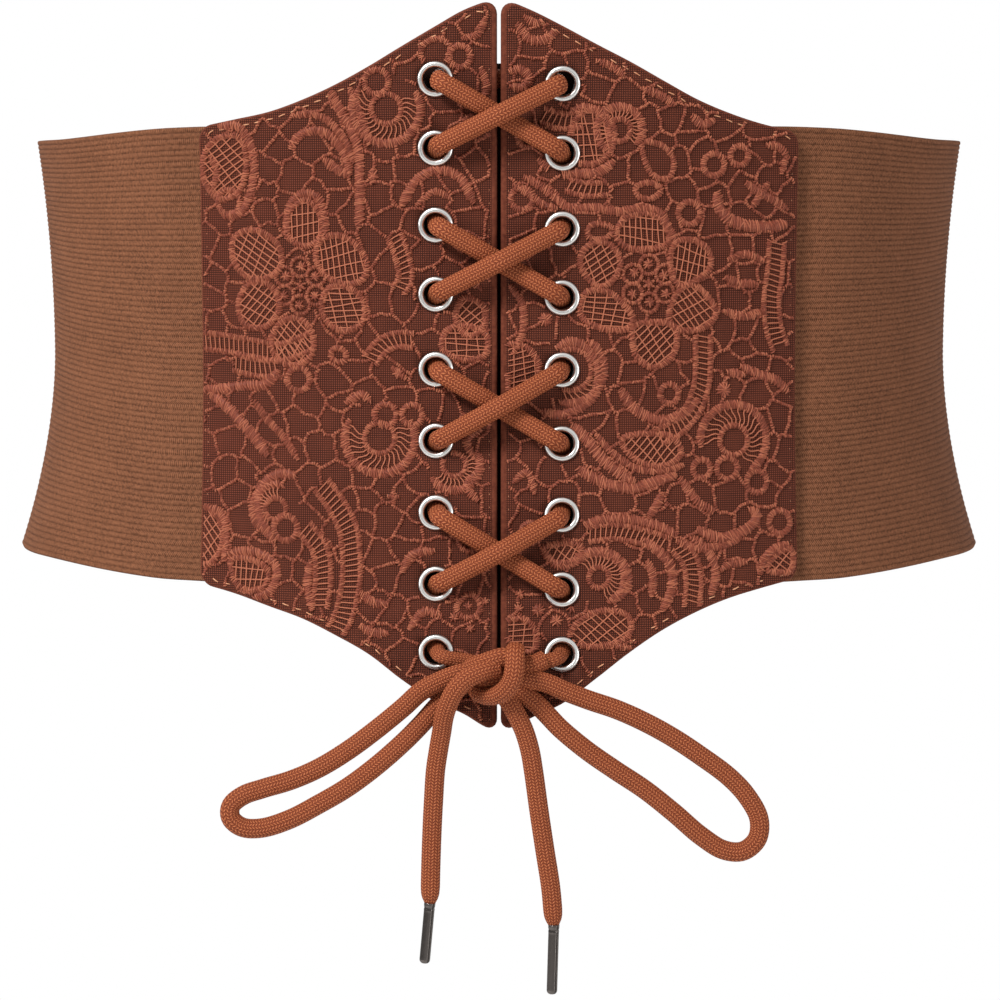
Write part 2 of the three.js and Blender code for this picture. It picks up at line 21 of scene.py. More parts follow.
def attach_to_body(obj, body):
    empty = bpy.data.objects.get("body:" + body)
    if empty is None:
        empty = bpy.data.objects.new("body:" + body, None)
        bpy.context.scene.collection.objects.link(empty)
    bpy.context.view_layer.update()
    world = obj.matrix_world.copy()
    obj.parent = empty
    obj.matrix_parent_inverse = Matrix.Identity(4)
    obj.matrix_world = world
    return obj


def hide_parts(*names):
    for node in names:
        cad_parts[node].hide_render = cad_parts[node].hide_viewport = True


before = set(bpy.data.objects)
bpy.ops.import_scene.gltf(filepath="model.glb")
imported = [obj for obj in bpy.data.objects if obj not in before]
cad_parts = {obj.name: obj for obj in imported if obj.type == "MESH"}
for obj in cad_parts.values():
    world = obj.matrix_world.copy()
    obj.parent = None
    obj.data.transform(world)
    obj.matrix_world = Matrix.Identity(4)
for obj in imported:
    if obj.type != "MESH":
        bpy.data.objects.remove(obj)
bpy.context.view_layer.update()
MM = 0.001
scene = bpy.context.scene
print("nodes:", len(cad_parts))

# %% [markdown]
# ## Camera
# The belt is seen straight from the front and a little from above. A camera could be
# placed by eye, but here its distance, height and lens were worked out from how wide
# the belt is at its front and at its sides, so that near parts look as much larger
# than far ones as they do in life. It is placed first, because the cords' lengths
# are checked against what it sees.

# %% Camera
aim = Vector((0.0003, 0, -0.0471))
distance = 1.040
elevation = math.radians(5.2)
seen_width = 0.310
camera_data = bpy.data.cameras.new("front_camera")
camera_data.lens = 36 * distance / seen_width
camera_data.clip_start = 0.05
camera = bpy.data.objects.new("front_camera", camera_data)
back = Vector((0, -math.cos(elevation), math.sin(elevation)))
camera.location = aim + back * distance
camera.rotation_euler = (-back).to_track_quat("-Z", "Y").to_euler()
scene.collection.objects.link(camera)
scene.camera = camera
print("lens:", round(camera_data.lens, 1), "mm")

# %% [markdown]
# ## Two helpers for nodes
# Materials and Geometry Nodes are both trees of nodes. One small function adds a
# node, sets its options and fills its inputs: a socket is linked, anything else is
# set as its value. Another turns a colour as written on a paint chart (sRGB hex) into
# the linear numbers that the renderer works with.

# %% Node helper and colours
def add(tree, kind, settings=None, inputs=None):
    made = tree.nodes.new(kind)
    for key, value in (settings or {}).items():
        setattr(made, key, value)
    for key, value in (inputs or {}).items():
        if isinstance(value, bpy.types.NodeSocket):
            tree.links.new(value, made.inputs[key])
        else:
            made.inputs[key].default_value = value
    return made


def srgb(code):
    parts = [int(code[i:i + 2], 16) / 255 for i in (0, 2, 4)]
    return [p / 12.92 if p <= 0.04045 else ((p + 0.055) / 1.055) ** 2.4 for p in parts] + [1]


# %% [markdown]
# ## Finishes
# A material starts from what the real one is and how it was made. Each function call
# below makes the base, then the pattern nodes are added to it, and a last call joins
# the colour and the relief to the base. Weaves follow an attribute, "cloth" or "cord",
# that holds the millimetres along and across a piece. Noise follows the object's own
# coordinates, which are in metres, so its scale is in features per metre.

# %% Start of a finish
def finish(name, roughness, metallic=0.0, **direct):
    material = bpy.data.materials.new(name)
    material.use_nodes = True
    tree = material.node_tree
    shader = tree.nodes["Principled BSDF"]
    shader.inputs["Roughness"].default_value = roughness
    shader.inputs["Metallic"].default_value = metallic
    for key, value in direct.items():
        shader.inputs[key.replace("_", " ")].default_value = value
    return material, tree, shader


def colour_steps(tree, factor, steps):
    ramp = add(tree, "ShaderNodeValToRGB", inputs={"Fac": factor})
    while len(ramp.color_ramp.elements) < len(steps):
        ramp.color_ramp.elements.new(0.5)
    for element, (place, code) in zip(ramp.color_ramp.elements, steps):
        element.position = place
        element.color = srgb(code)
    return ramp.outputs["Color"]


def dress(tree, shader, colour, height, strength, depth):
    relief = add(tree, "ShaderNodeBump", inputs={
        "Strength": strength, "Distance": depth, "Height": height})
    tree.links.new(colour, shader.inputs["Base Color"])
    tree.links.new(relief.outputs["Normal"], shader.inputs["Normal"])


# %% [markdown]
# ### Embroidery thread
# The lace is polyester embroidery thread, twisted and shiny when new but worked so
# densely that it looks matt, with a soft sheen where the stitches turn. Its colour
# changes from stitch to stitch, and the padding under them is painted darker, as painted
# shade under the stitches. The stitches are real geometry and carry an attribute "tone", from 0 in
# the padding to 1, so the material only needs that, a slow drift, and a fine bump for the twist of the
# plies.

# %% Embroidery thread
thread, tree, shader = finish("embroidery_thread", 0.6, Specular_IOR_Level=0.3)
place = add(tree, "ShaderNodeTexCoord")
drift = add(tree, "ShaderNodeTexNoise", inputs={
    "Vector": place.outputs["Object"], "Scale": 420.0, "Detail": 3.0, "Roughness": 0.6})
plies = add(tree, "ShaderNodeTexNoise", inputs={
    "Vector": place.outputs["Object"], "Scale": 3200.0, "Detail": 1.0})
tone = add(tree, "ShaderNodeAttribute", {"attribute_name": "tone"})
told = add(tree, "ShaderNodeMath", {"operation": "MULTIPLY_ADD"}, {
    0: drift.outputs["Fac"], 1: 0.5, 2: tone.outputs["Fac"]})
colour = colour_steps(tree, told.outputs[0], [
    (0.2, "4a1d12"), (0.5, "743726"), (0.85, "98503a"), (1.0, "b0674b")])
dress(tree, shader, colour, plies.outputs["Fac"], 0.5, 0.0002)

# %% [markdown]
# ### Panel cloth
# Under the lace lies a plain woven ground in squares about 0.6 mm wide,
# laminated to a stiff backing, and the panel's edge is turned and pressed, with no
# lace on it. The attribute "cloth" holds millimetres along and up the panel, and a
# measure of how far in from its edge a point lies. Sines of the first two make the
# weave. Real threads are a little finer; they are drawn at 0.62 mm so that they still
# show in the picture.

# %% Panel cloth
weave_pitch = 0.62
ground, tree, shader = finish("woven_ground", 0.75, Specular_IOR_Level=0.15)
cloth = add(tree, "ShaderNodeAttribute", {"attribute_name": "cloth"})
parts = add(tree, "ShaderNodeSeparateXYZ", inputs={"Vector": cloth.outputs["Vector"]})
waves = []
for axis in ("X", "Y"):
    turn = add(tree, "ShaderNodeMath", {"operation": "MULTIPLY"}, {
        0: parts.outputs[axis], 1: 2 * math.pi / weave_pitch})
    wave = add(tree, "ShaderNodeMath", {"operation": "SINE"}, {0: turn.outputs[0]})
    waves.append(add(tree, "ShaderNodeMapRange", inputs={
        "Value": wave.outputs[0], "From Min": -0.75, "From Max": 0.35}).outputs[0])
weave = add(tree, "ShaderNodeMath", {"operation": "MULTIPLY"}, {0: waves[0], 1: waves[1]})
place = add(tree, "ShaderNodeTexCoord")
drift = add(tree, "ShaderNodeTexNoise", inputs={
    "Vector": place.outputs["Object"], "Scale": 130.0, "Detail": 4.0})
uneven = add(tree, "ShaderNodeMath", {"operation": "MULTIPLY_ADD"}, {
    0: drift.outputs["Fac"], 1: 0.35, 2: -0.17})
shade = add(tree, "ShaderNodeMath", {"operation": "ADD"}, {
    0: weave.outputs[0], 1: uneven.outputs[0]})
woven = colour_steps(tree, shade.outputs[0], [(0.0, "35170f"), (0.4, "633020"), (1.0, "7e412e")])
grain = add(tree, "ShaderNodeTexNoise", inputs={
    "Vector": place.outputs["Object"], "Scale": 900.0, "Detail": 5.0})
pressed = colour_steps(tree, grain.outputs["Fac"], [(0.3, "56271a"), (0.7, "763d2a")])
inner = add(tree, "ShaderNodeMapRange", inputs={
    "Value": parts.outputs["Z"], "From Min": 1.35, "From Max": 1.75})
whole = add(tree, "ShaderNodeMix", {"data_type": "RGBA"}, {
    0: inner.outputs[0], 6: pressed, 7: woven})
height = add(tree, "ShaderNodeMath", {"operation": "MULTIPLY"}, {
    0: weave.outputs[0], 1: inner.outputs[0]})
dress(tree, shader, whole.outputs[2], height.outputs[0], 0.6, 0.00025)

# %% [markdown]
# ### Ribbed elastic
# Woven elastic is rubber cords covered by a fine zigzag of polyester. The ribs are
# real geometry, and the third value of "cloth" tells how proud they stand; the colour
# follows it too, lighter on the crests and darker between the ribs: painted highlight and
# painted shade. The covering threads slant one way on one rib and the other way on the
# next, 0.6 mm apart along the band, and noise stands for their loose fibres.

# %% Ribbed elastic
rib_pitch = 1.61
zigzag_pitch = 0.6
elastic, tree, shader = finish("ribbed_elastic", 0.8, Specular_IOR_Level=0.2)
cloth = add(tree, "ShaderNodeAttribute", {"attribute_name": "cloth"})
parts = add(tree, "ShaderNodeSeparateXYZ", inputs={"Vector": cloth.outputs["Vector"]})
across = add(tree, "ShaderNodeMath", {"operation": "PINGPONG"}, {
    0: parts.outputs["Y"], 1: rib_pitch})
slant = add(tree, "ShaderNodeMath", {"operation": "MULTIPLY_ADD"}, {
    0: across.outputs[0], 1: 0.7, 2: parts.outputs["X"]})
turn = add(tree, "ShaderNodeMath", {"operation": "MULTIPLY"}, {
    0: slant.outputs[0], 1: 2 * math.pi / zigzag_pitch})
wave = add(tree, "ShaderNodeMath", {"operation": "SINE"}, {0: turn.outputs[0]})
place = add(tree, "ShaderNodeTexCoord")
drift = add(tree, "ShaderNodeTexNoise", inputs={
    "Vector": place.outputs["Object"], "Scale": 60.0, "Detail": 5.0, "Roughness": 0.65})
fuzz = add(tree, "ShaderNodeTexNoise", inputs={
    "Vector": place.outputs["Object"], "Scale": 1500.0, "Detail": 3.0, "Roughness": 0.6})
uneven = add(tree, "ShaderNodeMath", {"operation": "MULTIPLY_ADD"}, {
    0: drift.outputs["Fac"], 1: 0.25, 2: -0.19})
fibres = add(tree, "ShaderNodeMath", {"operation": "MULTIPLY_ADD"}, {
    0: fuzz.outputs["Fac"], 1: 1.1, 2: uneven.outputs[0]})
shade = add(tree, "ShaderNodeMath", {"operation": "MULTIPLY_ADD"}, {
    0: wave.outputs[0], 1: 0.22, 2: fibres.outputs[0]})
# Lighter on the rib crests and darker between ribs: painted highlight and painted shade.
rib_painted_light_and_shade = add(tree, "ShaderNodeMath", {"operation": "MULTIPLY_ADD"}, {
    0: parts.outputs["Z"], 1: 0.26, 2: shade.outputs[0]})
colour = colour_steps(tree, rib_painted_light_and_shade.outputs[0], [(0.25, "3c2214"), (0.6, "6a4028"), (0.95, "8f5d41")])
dress(tree, shader, colour, shade.outputs[0], 0.6, 0.00015)

# %% [markdown]
# ### Braided cord
# The lace is a flat braid of bright orange-brown polyester. Its strands cross in
# chevrons: sixteen columns round the cord, the strands of one column slanting against
# those of the next, about 0.9 mm apart. The colour is lighter on each strand's crown and
# darker in the gaps between strands, as painted highlight and painted shade, with noise for
# the fibres. The attribute "cord" holds the share round the cord and the millimetres along it.

# %% Braided cord
braid_columns = 16
strand_pitch = 0.9
braid, tree, shader = finish("braided_cord", 0.6, Specular_IOR_Level=0.15)
cord_data = add(tree, "ShaderNodeAttribute", {"attribute_name": "cord"})
parts = add(tree, "ShaderNodeSeparateXYZ", inputs={"Vector": cord_data.outputs["Vector"]})
columns = add(tree, "ShaderNodeMath", {"operation": "MULTIPLY"}, {
    0: parts.outputs["X"], 1: braid_columns})
zigzag = add(tree, "ShaderNodeMath", {"operation": "PINGPONG"}, {0: columns.outputs[0], 1: 1.0})
lean = add(tree, "ShaderNodeMath", {"operation": "MULTIPLY"}, {0: zigzag.outputs[0], 1: 0.85})
slant = add(tree, "ShaderNodeMath", {"operation": "MULTIPLY_ADD"}, {
    0: parts.outputs["Y"], 1: 1 / strand_pitch, 2: lean.outputs[0]})
turn = add(tree, "ShaderNodeMath", {"operation": "MULTIPLY"}, {0: slant.outputs[0], 1: 2 * math.pi})
wave = add(tree, "ShaderNodeMath", {"operation": "COSINE"}, {0: turn.outputs[0]})
strand = add(tree, "ShaderNodeMapRange", inputs={
    "Value": wave.outputs[0], "From Min": -1.0, "From Max": 0.7})
ends = add(tree, "ShaderNodeMath", {"operation": "PINGPONG"}, {0: columns.outputs[0], 1: 0.5})
crown = add(tree, "ShaderNodeMapRange", inputs={
    "Value": ends.outputs[0], "From Min": 0.0, "From Max": 0.35})
proud = add(tree, "ShaderNodeMath", {"operation": "MULTIPLY"}, {
    0: strand.outputs[0], 1: crown.outputs[0]})
place = add(tree, "ShaderNodeTexCoord")
fibres = add(tree, "ShaderNodeTexNoise", inputs={
    "Vector": place.outputs["Object"], "Scale": 1500.0, "Detail": 3.0})
# Strand crowns are painted lighter and the gaps darker: painted highlight and painted shade.
shade = add(tree, "ShaderNodeMath", {"operation": "MULTIPLY_ADD"}, {
    0: fibres.outputs["Fac"], 1: 0.3, 2: proud.outputs[0]})
colour = colour_steps(tree, shade.outputs[0], [(0.1, "6a2e1a"), (0.5, "964b2d"), (1.0, "be7048")])
dress(tree, shader, colour, proud.outputs[0], 0.8, 0.0003)

# %% [markdown]
# ### The other finishes
# The eyelets are nickel-plated brass, pressed and polished: bright, with the faintest
# haze. The cord's ends are dark gunmetal, rolled from sheet, with painted shade darkening the seam.
# Behind the opening lies a dark twill strip, and the machine stitches are a lighter
# tan thread.

# %% Nickel, gunmetal, twill and sewing thread
nickel, tree, shader = finish("polished_nickel", 0.3, 1.0)
place = add(tree, "ShaderNodeTexCoord")
haze = add(tree, "ShaderNodeTexNoise", inputs={
    "Vector": place.outputs["Object"], "Scale": 700.0, "Detail": 4.0})
rough = add(tree, "ShaderNodeMapRange", inputs={
    "Value": haze.outputs["Fac"], "To Min": 0.26, "To Max": 0.36})
shader.inputs["Base Color"].default_value = srgb("e2e1de")
tree.links.new(rough.outputs[0], shader.inputs["Roughness"])

gunmetal, tree, shader = finish("rolled_gunmetal", 0.28, 1.0)
place = add(tree, "ShaderNodeTexCoord")
haze = add(tree, "ShaderNodeTexNoise", inputs={
    "Vector": place.outputs["Object"], "Scale": 500.0, "Detail": 4.0})
rough = add(tree, "ShaderNodeMapRange", inputs={
    "Value": haze.outputs["Fac"], "To Min": 0.1, "To Max": 0.2})
# The seam attribute darkens the metal along the seam groove: painted shade.
seam = add(tree, "ShaderNodeAttribute", {"attribute_name": "seam"})
colour = colour_steps(tree, seam.outputs["Fac"], [(0.0, "6a6461"), (0.6, "3a3634"), (1.0, "141211")])
tree.links.new(colour, shader.inputs["Base Color"])
tree.links.new(rough.outputs[0], shader.inputs["Roughness"])

twill_pitch = 0.8
twill, tree, shader = finish("dark_twill", 0.85, Specular_IOR_Level=0.15)
cloth = add(tree, "ShaderNodeAttribute", {"attribute_name": "cloth"})
parts = add(tree, "ShaderNodeSeparateXYZ", inputs={"Vector": cloth.outputs["Vector"]})
both = add(tree, "ShaderNodeMath", {"operation": "ADD"}, {0: parts.outputs["X"], 1: parts.outputs["Y"]})
turn = add(tree, "ShaderNodeMath", {"operation": "MULTIPLY"}, {
    0: both.outputs[0], 1: 2 * math.pi / twill_pitch})
wave = add(tree, "ShaderNodeMath", {"operation": "SINE"}, {0: turn.outputs[0]})
colour = colour_steps(tree, wave.outputs[0], [(0.0, "22120e"), (0.8, "3a2019")])
dress(tree, shader, colour, wave.outputs[0], 0.5, 0.0002)

sewing, tree, shader = finish("sewing_thread", 0.5)
place = add(tree, "ShaderNodeTexCoord")
drift = add(tree, "ShaderNodeTexNoise", inputs={
    "Vector": place.outputs["Object"], "Scale": 900.0, "Detail": 2.0})
colour = colour_steps(tree, drift.outputs["Fac"], [(0.3, "c07a54"), (0.7, "dda078")])
tree.links.new(colour, shader.inputs["Base Color"])
finishes = (thread, ground, elastic, braid, nickel, gunmetal, twill, sewing)
print("finishes:", [material.name for material in finishes])

# %% [markdown]
# ## The shape that the belt is worn on
# A waist isn't round: in plan it is a rounded oblong, which a superellipse describes
# with three numbers. It opens a little upwards and more downwards. `worn` places a
# point given along the ring (from the front middle, to the wearer's left), its
# height, and its distance out from the body side. Everything flat, from the panels'
# outline to every thread of lace, is drawn flat first and then laid on the belt by it.

# %% Worn surface
half_width = 134.0
half_depth = 98.0
fullness = 2.3
thickness = 2.0
flare_up_height, flare_up_side, flare_up_front = 65, 4.8, 2.5
flare_down_height, flare_down_side, flare_down_front = 61, 11.5, 4.0
ring_step, length_step = 2.0, 0.5


def half_axes(z):
    up = np.maximum(z, 0) / flare_up_height
    down = np.maximum(-z, 0) / flare_down_height
    a = half_width + flare_up_side * up ** 2 + flare_down_side * down ** 1.8
    b = half_depth + flare_up_front * up ** 2 + flare_down_front * down ** 1.6
    return a, b


ring_heights = np.arange(-120.0, 121.0, ring_step)
ring_lengths = np.arange(0.0, 440.0, length_step)
turns = np.linspace(0, 1.15 * np.pi, 2400)
ring_x, ring_y, ring_half = [], [], []
for z in ring_heights:
    a, b = half_axes(z)
    a, b = a + thickness, b + thickness
    sine, cosine = np.sin(turns), np.cos(turns)
    x = a * np.sign(sine) * np.abs(sine) ** (2 / fullness)
    y = -b * np.sign(cosine) * np.abs(cosine) ** (2 / fullness)
    run = np.concatenate([[0], np.cumsum(np.hypot(np.diff(x), np.diff(y)))])
    ring_x.append(np.interp(ring_lengths, run, x))
    ring_y.append(np.interp(ring_lengths, run, y))
    ring_half.append(np.interp(np.pi, turns, run))
ring_x, ring_y, ring_half = np.array(ring_x), np.array(ring_y), np.array(ring_half)


def outward_at(x, y, z):
    a, b = half_axes(z)
    nx = np.sign(x) * np.abs(x / (a + thickness)) ** (fullness - 1) / (a + thickness)
    ny = np.sign(y) * np.abs(y / (b + thickness)) ** (fullness - 1) / (b + thickness)
    size = np.hypot(nx, ny)
    return nx / size, ny / size


def worn(along, z, off):
    along, z, off = np.broadcast_arrays(*[np.asarray(v, float) for v in (along, z, off)])
    side = np.where(along < 0, -1.0, 1.0)
    i = np.clip((z - ring_heights[0]) / ring_step, 0, len(ring_heights) - 1.001)
    j = np.clip(np.abs(along) / length_step, 0, len(ring_lengths) - 1.001)
    i0, j0 = i.astype(int), j.astype(int)
    fi, fj = i - i0, j - j0
    x, y = [((t[i0, j0] * (1 - fj) + t[i0, j0 + 1] * fj) * (1 - fi)
             + (t[i0 + 1, j0] * (1 - fj) + t[i0 + 1, j0 + 1] * fj) * fi) for t in (ring_x, ring_y)]
    nx, ny = outward_at(x, y, z)
    step = off - thickness
    return np.stack([side * (x + nx * step), y + ny * step, z], axis=-1)


waist_round = 2 * float(np.interp(0, ring_heights, ring_half))
print("waist round the outside:", round(waist_round), "mm")

# %% [markdown]
# ## Helpers for making pieces
# `piece` makes a mesh object from points in millimetres, turns its faces outward and
# gives it its finish, and `attach` tells the frame what it rides on.
# `smooth_line` draws a curve through a few points and spaces its own points evenly.
# `run_nodes` gives a piece to a Geometry Nodes tree, sets the tree's inputs by their
# identifiers, and returns the result as plain points, faces and attributes.

# %% Making pieces
def piece(name, points, faces, material, smooth=True, merge=False):
    mesh = bpy.data.meshes.new(name)
    mesh.from_pydata((np.asarray(points) * MM).tolist(), [], [list(f) for f in faces])
    mesh.materials.append(material)
    work = bmesh.new()
    work.from_mesh(mesh)
    if merge:
        bmesh.ops.remove_doubles(work, verts=work.verts, dist=2e-6)
    bmesh.ops.recalc_face_normals(work, faces=work.faces)
    work.to_mesh(mesh)
    work.free()
    mesh.validate()
    if smooth:
        mesh.shade_smooth()
    made = bpy.data.objects.new(name, mesh)
    scene.collection.objects.link(made)
    return made


def attach(made):
    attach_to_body(made, "root")


def show_size(name, mesh):
    mesh.calc_loop_triangles()
    print(name, len(mesh.loop_triangles), "triangles")


def length_of(path):
    return float(np.linalg.norm(np.diff(path, axis=0), axis=1).sum())


def store(made, name, values):
    field = made.data.attributes.new(name, "FLOAT_VECTOR", "POINT")
    field.data.foreach_set("vector", np.asarray(values, np.float32).ravel())


def smooth_line(points, step, closed=False):
    p = np.asarray(points, float)
    if closed:
        p = np.vstack([p[-1], p, p[0], p[1]])
    else:
        p = np.vstack([2 * p[0] - p[1], p, 2 * p[-1] - p[-2]])
    drawn = []
    for a, b, c, d in zip(p[:-3], p[1:-2], p[2:-1], p[3:]):
        k = np.cumsum([0] + [max(np.linalg.norm(q - r), 1e-6) ** 0.5
                             for q, r in ((b, a), (c, b), (d, c))])
        t = np.linspace(k[1], k[2], 24, endpoint=False)[:, None]
        ab = (k[1] - t) / (k[1] - k[0]) * a + (t - k[0]) / (k[1] - k[0]) * b
        bc = (k[2] - t) / (k[2] - k[1]) * b + (t - k[1]) / (k[2] - k[1]) * c
        cd = (k[3] - t) / (k[3] - k[2]) * c + (t - k[2]) / (k[3] - k[2]) * d
        abc = (k[2] - t) / (k[2] - k[0]) * ab + (t - k[0]) / (k[2] - k[0]) * bc
        bcd = (k[3] - t) / (k[3] - k[1]) * bc + (t - k[1]) / (k[3] - k[1]) * cd
        drawn.append((k[2] - t) / (k[2] - k[1]) * abc + (t - k[1]) / (k[2] - k[1]) * bcd)
    drawn = np.vstack(drawn + [p[-2][None]])
    run = np.concatenate([[0], np.cumsum(np.linalg.norm(np.diff(drawn, axis=0), axis=1))])
    count = max(int(round(run[-1] / step)), 2)
    at = np.linspace(0, run[-1], count + 1)
    if closed:
        at = at[:-1]
    return np.stack([np.interp(at, run, drawn[:, i]) for i in range(p.shape[1])], axis=1)


def start_tree(name, inputs):
    tree = bpy.data.node_groups.new(name, "GeometryNodeTree")
    tree.interface.new_socket("Geometry", in_out="INPUT", socket_type="NodeSocketGeometry")
    for label, kind, value in inputs:
        made = tree.interface.new_socket(label, in_out="INPUT", socket_type=kind)
        if value is not None:
            made.default_value = value
    tree.interface.new_socket("Geometry", in_out="OUTPUT", socket_type="NodeSocketGeometry")
    return tree, add(tree, "NodeGroupInput").outputs


def end_tree(tree, geometry, material):
    whole = add(tree, "GeometryNodeRealizeInstances", inputs={"Geometry": geometry})
    done = add(tree, "GeometryNodeSetMaterial", inputs={
        "Geometry": whole.outputs[0], "Material": material})
    add(tree, "NodeGroupOutput", inputs={"Geometry": done.outputs[0]})


def run_nodes(source, tree, values):
    modifier = source.modifiers.new(tree.name, "NODES")
    modifier.node_group = tree
    for item in tree.interface.items_tree:
        if item.in_out == "INPUT" and item.name in values:
            modifier[item.identifier] = values[item.name]
    bpy.context.view_layer.update()
    ready = source.evaluated_get(bpy.context.evaluated_depsgraph_get())
    mesh = bpy.data.meshes.new_from_object(ready)
    source.modifiers.remove(modifier)
    bpy.data.objects.remove(source)
    return mesh


def lines_object(lines, fields=None, closed=()):
    points = np.vstack(lines)
    edges, start = [], 0
    for number, line in enumerate(lines):
        edges += [(start + i, start + i + 1) for i in range(len(line) - 1)]
        if number in closed:
            edges.append((start + len(line) - 1, start))
        start += len(line)
    mesh = bpy.data.meshes.new("lines")
    mesh.from_pydata(points.tolist(), edges, [])
    for name, values in (fields or {}).items():
        values = np.vstack(values) if np.ndim(values[0]) == 2 else np.concatenate(values)
        kind = "FLOAT_VECTOR" if values.ndim == 2 else "FLOAT"
        field = mesh.attributes.new(name, kind, "POINT")
        field.data.foreach_set("vector" if values.ndim == 2 else "value",
                               np.asarray(values, np.float32).ravel())
    made = bpy.data.objects.new("lines", mesh)
    scene.collection.objects.link(made)
    return made


def place_mesh(name, mesh, lay=None):
    points = np.empty(len(mesh.vertices) * 3)
    mesh.vertices.foreach_get("co", points)
    points = points.reshape(-1, 3)
    if lay is not None:
        points = lay(points)
    mesh.vertices.foreach_set("co", (points * MM).astype(np.float32).ravel())
    mesh.update()
    made = bpy.data.objects.new(name, mesh)
    mesh.name = name
    scene.collection.objects.link(made)
    show_size(name, mesh)
    return made


# %% [markdown]
# ## The braided cord
# All the cord on the belt is one kind: a flat braid 5.5 mm wide and 4.2 mm deep. A
# curve object with a bevel would give a plain tube. Geometry Nodes give more say: the
# tree below sweeps an oval along a line, keeps how far along and how far round every
# point is, and presses sixteen shallow grooves between the braid's columns. The line
# carries a direction, "face", that the flat side looks to, so that the cord lies flat
# where it crosses the panels, and a factor, "girth", that is below 1 where it is gripped.

# %% Braided cord tree
cord_width, cord_depth = 5.5, 4.2
cord_tree, given = start_tree("Flat braided cord", [
    ("Width", "NodeSocketFloat", cord_width), ("Depth", "NodeSocketFloat", cord_depth),
    ("Groove", "NodeSocketFloat", 0.1), ("Sides", "NodeSocketInt", 32)])
curve = add(cord_tree, "GeometryNodeMeshToCurve", inputs={"Mesh": given["Geometry"]})
face = add(cord_tree, "GeometryNodeInputNamedAttribute", {"data_type": "FLOAT_VECTOR"}, {"Name": "face"})
turned = add(cord_tree, "GeometryNodeSetCurveNormal", {"mode": "FREE"}, {
    "Curve": curve.outputs[0], "Normal": face.outputs[0]})
run = add(cord_tree, "GeometryNodeSplineParameter")
marked = add(cord_tree, "GeometryNodeStoreNamedAttribute", {"data_type": "FLOAT", "domain": "POINT"}, {
    "Geometry": turned.outputs[0], "Name": "run", "Value": run.outputs["Length"]})
circle = add(cord_tree, "GeometryNodeCurvePrimitiveCircle", inputs={
    "Resolution": given["Sides"], "Radius": 1.0})
size = add(cord_tree, "ShaderNodeCombineXYZ", inputs={"X": given["Width"], "Y": given["Depth"], "Z": 2.0})
half = add(cord_tree, "ShaderNodeVectorMath", {"operation": "SCALE"}, {0: size.outputs[0], "Scale": 0.5})
oval = add(cord_tree, "GeometryNodeTransform", inputs={
    "Geometry": circle.outputs[0], "Scale": half.outputs[0], "Rotation": (0, 0, math.radians(90))})
share = add(cord_tree, "GeometryNodeSplineParameter")
profile = add(cord_tree, "GeometryNodeStoreNamedAttribute", {"data_type": "FLOAT", "domain": "POINT"}, {
    "Geometry": oval.outputs[0], "Name": "round", "Value": share.outputs["Factor"]})
girth = add(cord_tree, "GeometryNodeInputNamedAttribute", {"data_type": "FLOAT"}, {"Name": "girth"})
tube = add(cord_tree, "GeometryNodeCurveToMesh", inputs={
    "Curve": marked.outputs[0], "Profile Curve": profile.outputs[0], "Scale": girth.outputs[0],
    "Fill Caps": True})
around = add(cord_tree, "GeometryNodeInputNamedAttribute", {"data_type": "FLOAT"}, {"Name": "round"})
along = add(cord_tree, "GeometryNodeInputNamedAttribute", {"data_type": "FLOAT"}, {"Name": "run"})
both = add(cord_tree, "ShaderNodeCombineXYZ", inputs={"X": around.outputs[0], "Y": along.outputs[0]})
told = add(cord_tree, "GeometryNodeStoreNamedAttribute", {"data_type": "FLOAT_VECTOR", "domain": "POINT"}, {
    "Geometry": tube.outputs[0], "Name": "cord", "Value": both.outputs[0]})
columns = add(cord_tree, "ShaderNodeMath", {"operation": "MULTIPLY"}, {
    0: around.outputs[0], 1: braid_columns * math.pi})
lobe = add(cord_tree, "ShaderNodeMath", {"operation": "SINE"}, {0: columns.outputs[0]})
crest = add(cord_tree, "ShaderNodeMath", {"operation": "ABSOLUTE"}, {0: lobe.outputs[0]})
depth = add(cord_tree, "ShaderNodeMath", {"operation": "SUBTRACT"}, {0: crest.outputs[0], 1: 1.0})
press = add(cord_tree, "ShaderNodeMath", {"operation": "MULTIPLY"}, {
    0: depth.outputs[0], 1: given["Groove"]})
normal = add(cord_tree, "GeometryNodeInputNormal")
push = add(cord_tree, "ShaderNodeVectorMath", {"operation": "SCALE"}, {
    0: normal.outputs[0], "Scale": press.outputs[0]})
grooved = add(cord_tree, "GeometryNodeSetPosition", inputs={
    "Geometry": told.outputs[0], "Offset": push.outputs[0]})
soft = add(cord_tree, "GeometryNodeSetShadeSmooth", inputs={"Geometry": grooved.outputs[0]})
end_tree(cord_tree, soft.outputs[0], braid)

# %% [markdown]
# A cord that is carried along a line turns about itself as little as it can. The next
# function first carries a direction along the line in that way, and then adds the
# small twist that brings the flat side round to face outwards wherever the cord lies
# on something. Through the eyelets, where it points inwards, the twist is spread.
# `braided` makes one cord. Its girth falls off where metal or the knot grips it.

# %% Laying a cord flat
def lay_flat(path, wanted):
    tangent = np.gradient(path, axis=0)
    tangent /= np.linalg.norm(tangent, axis=1)[:, None]
    carried = np.empty_like(path)
    now = np.cross(tangent[0], [0.3, 0.2, 0.9])
    for i, t in enumerate(tangent):
        now = now - now.dot(t) * t
        now = now / np.linalg.norm(now)
        carried[i] = now
    other = np.cross(tangent, carried)
    lean = np.abs(np.sum(wanted * tangent, axis=1))
    angle = np.arctan2(np.sum(wanted * other, axis=1), np.sum(wanted * carried, axis=1))
    firm = np.flatnonzero(lean < 0.45)
    twist = np.unwrap(angle[firm], period=np.pi)
    twist = np.interp(np.arange(len(path)), firm, twist)[:, None]
    return np.cos(twist) * carried + np.sin(twist) * other


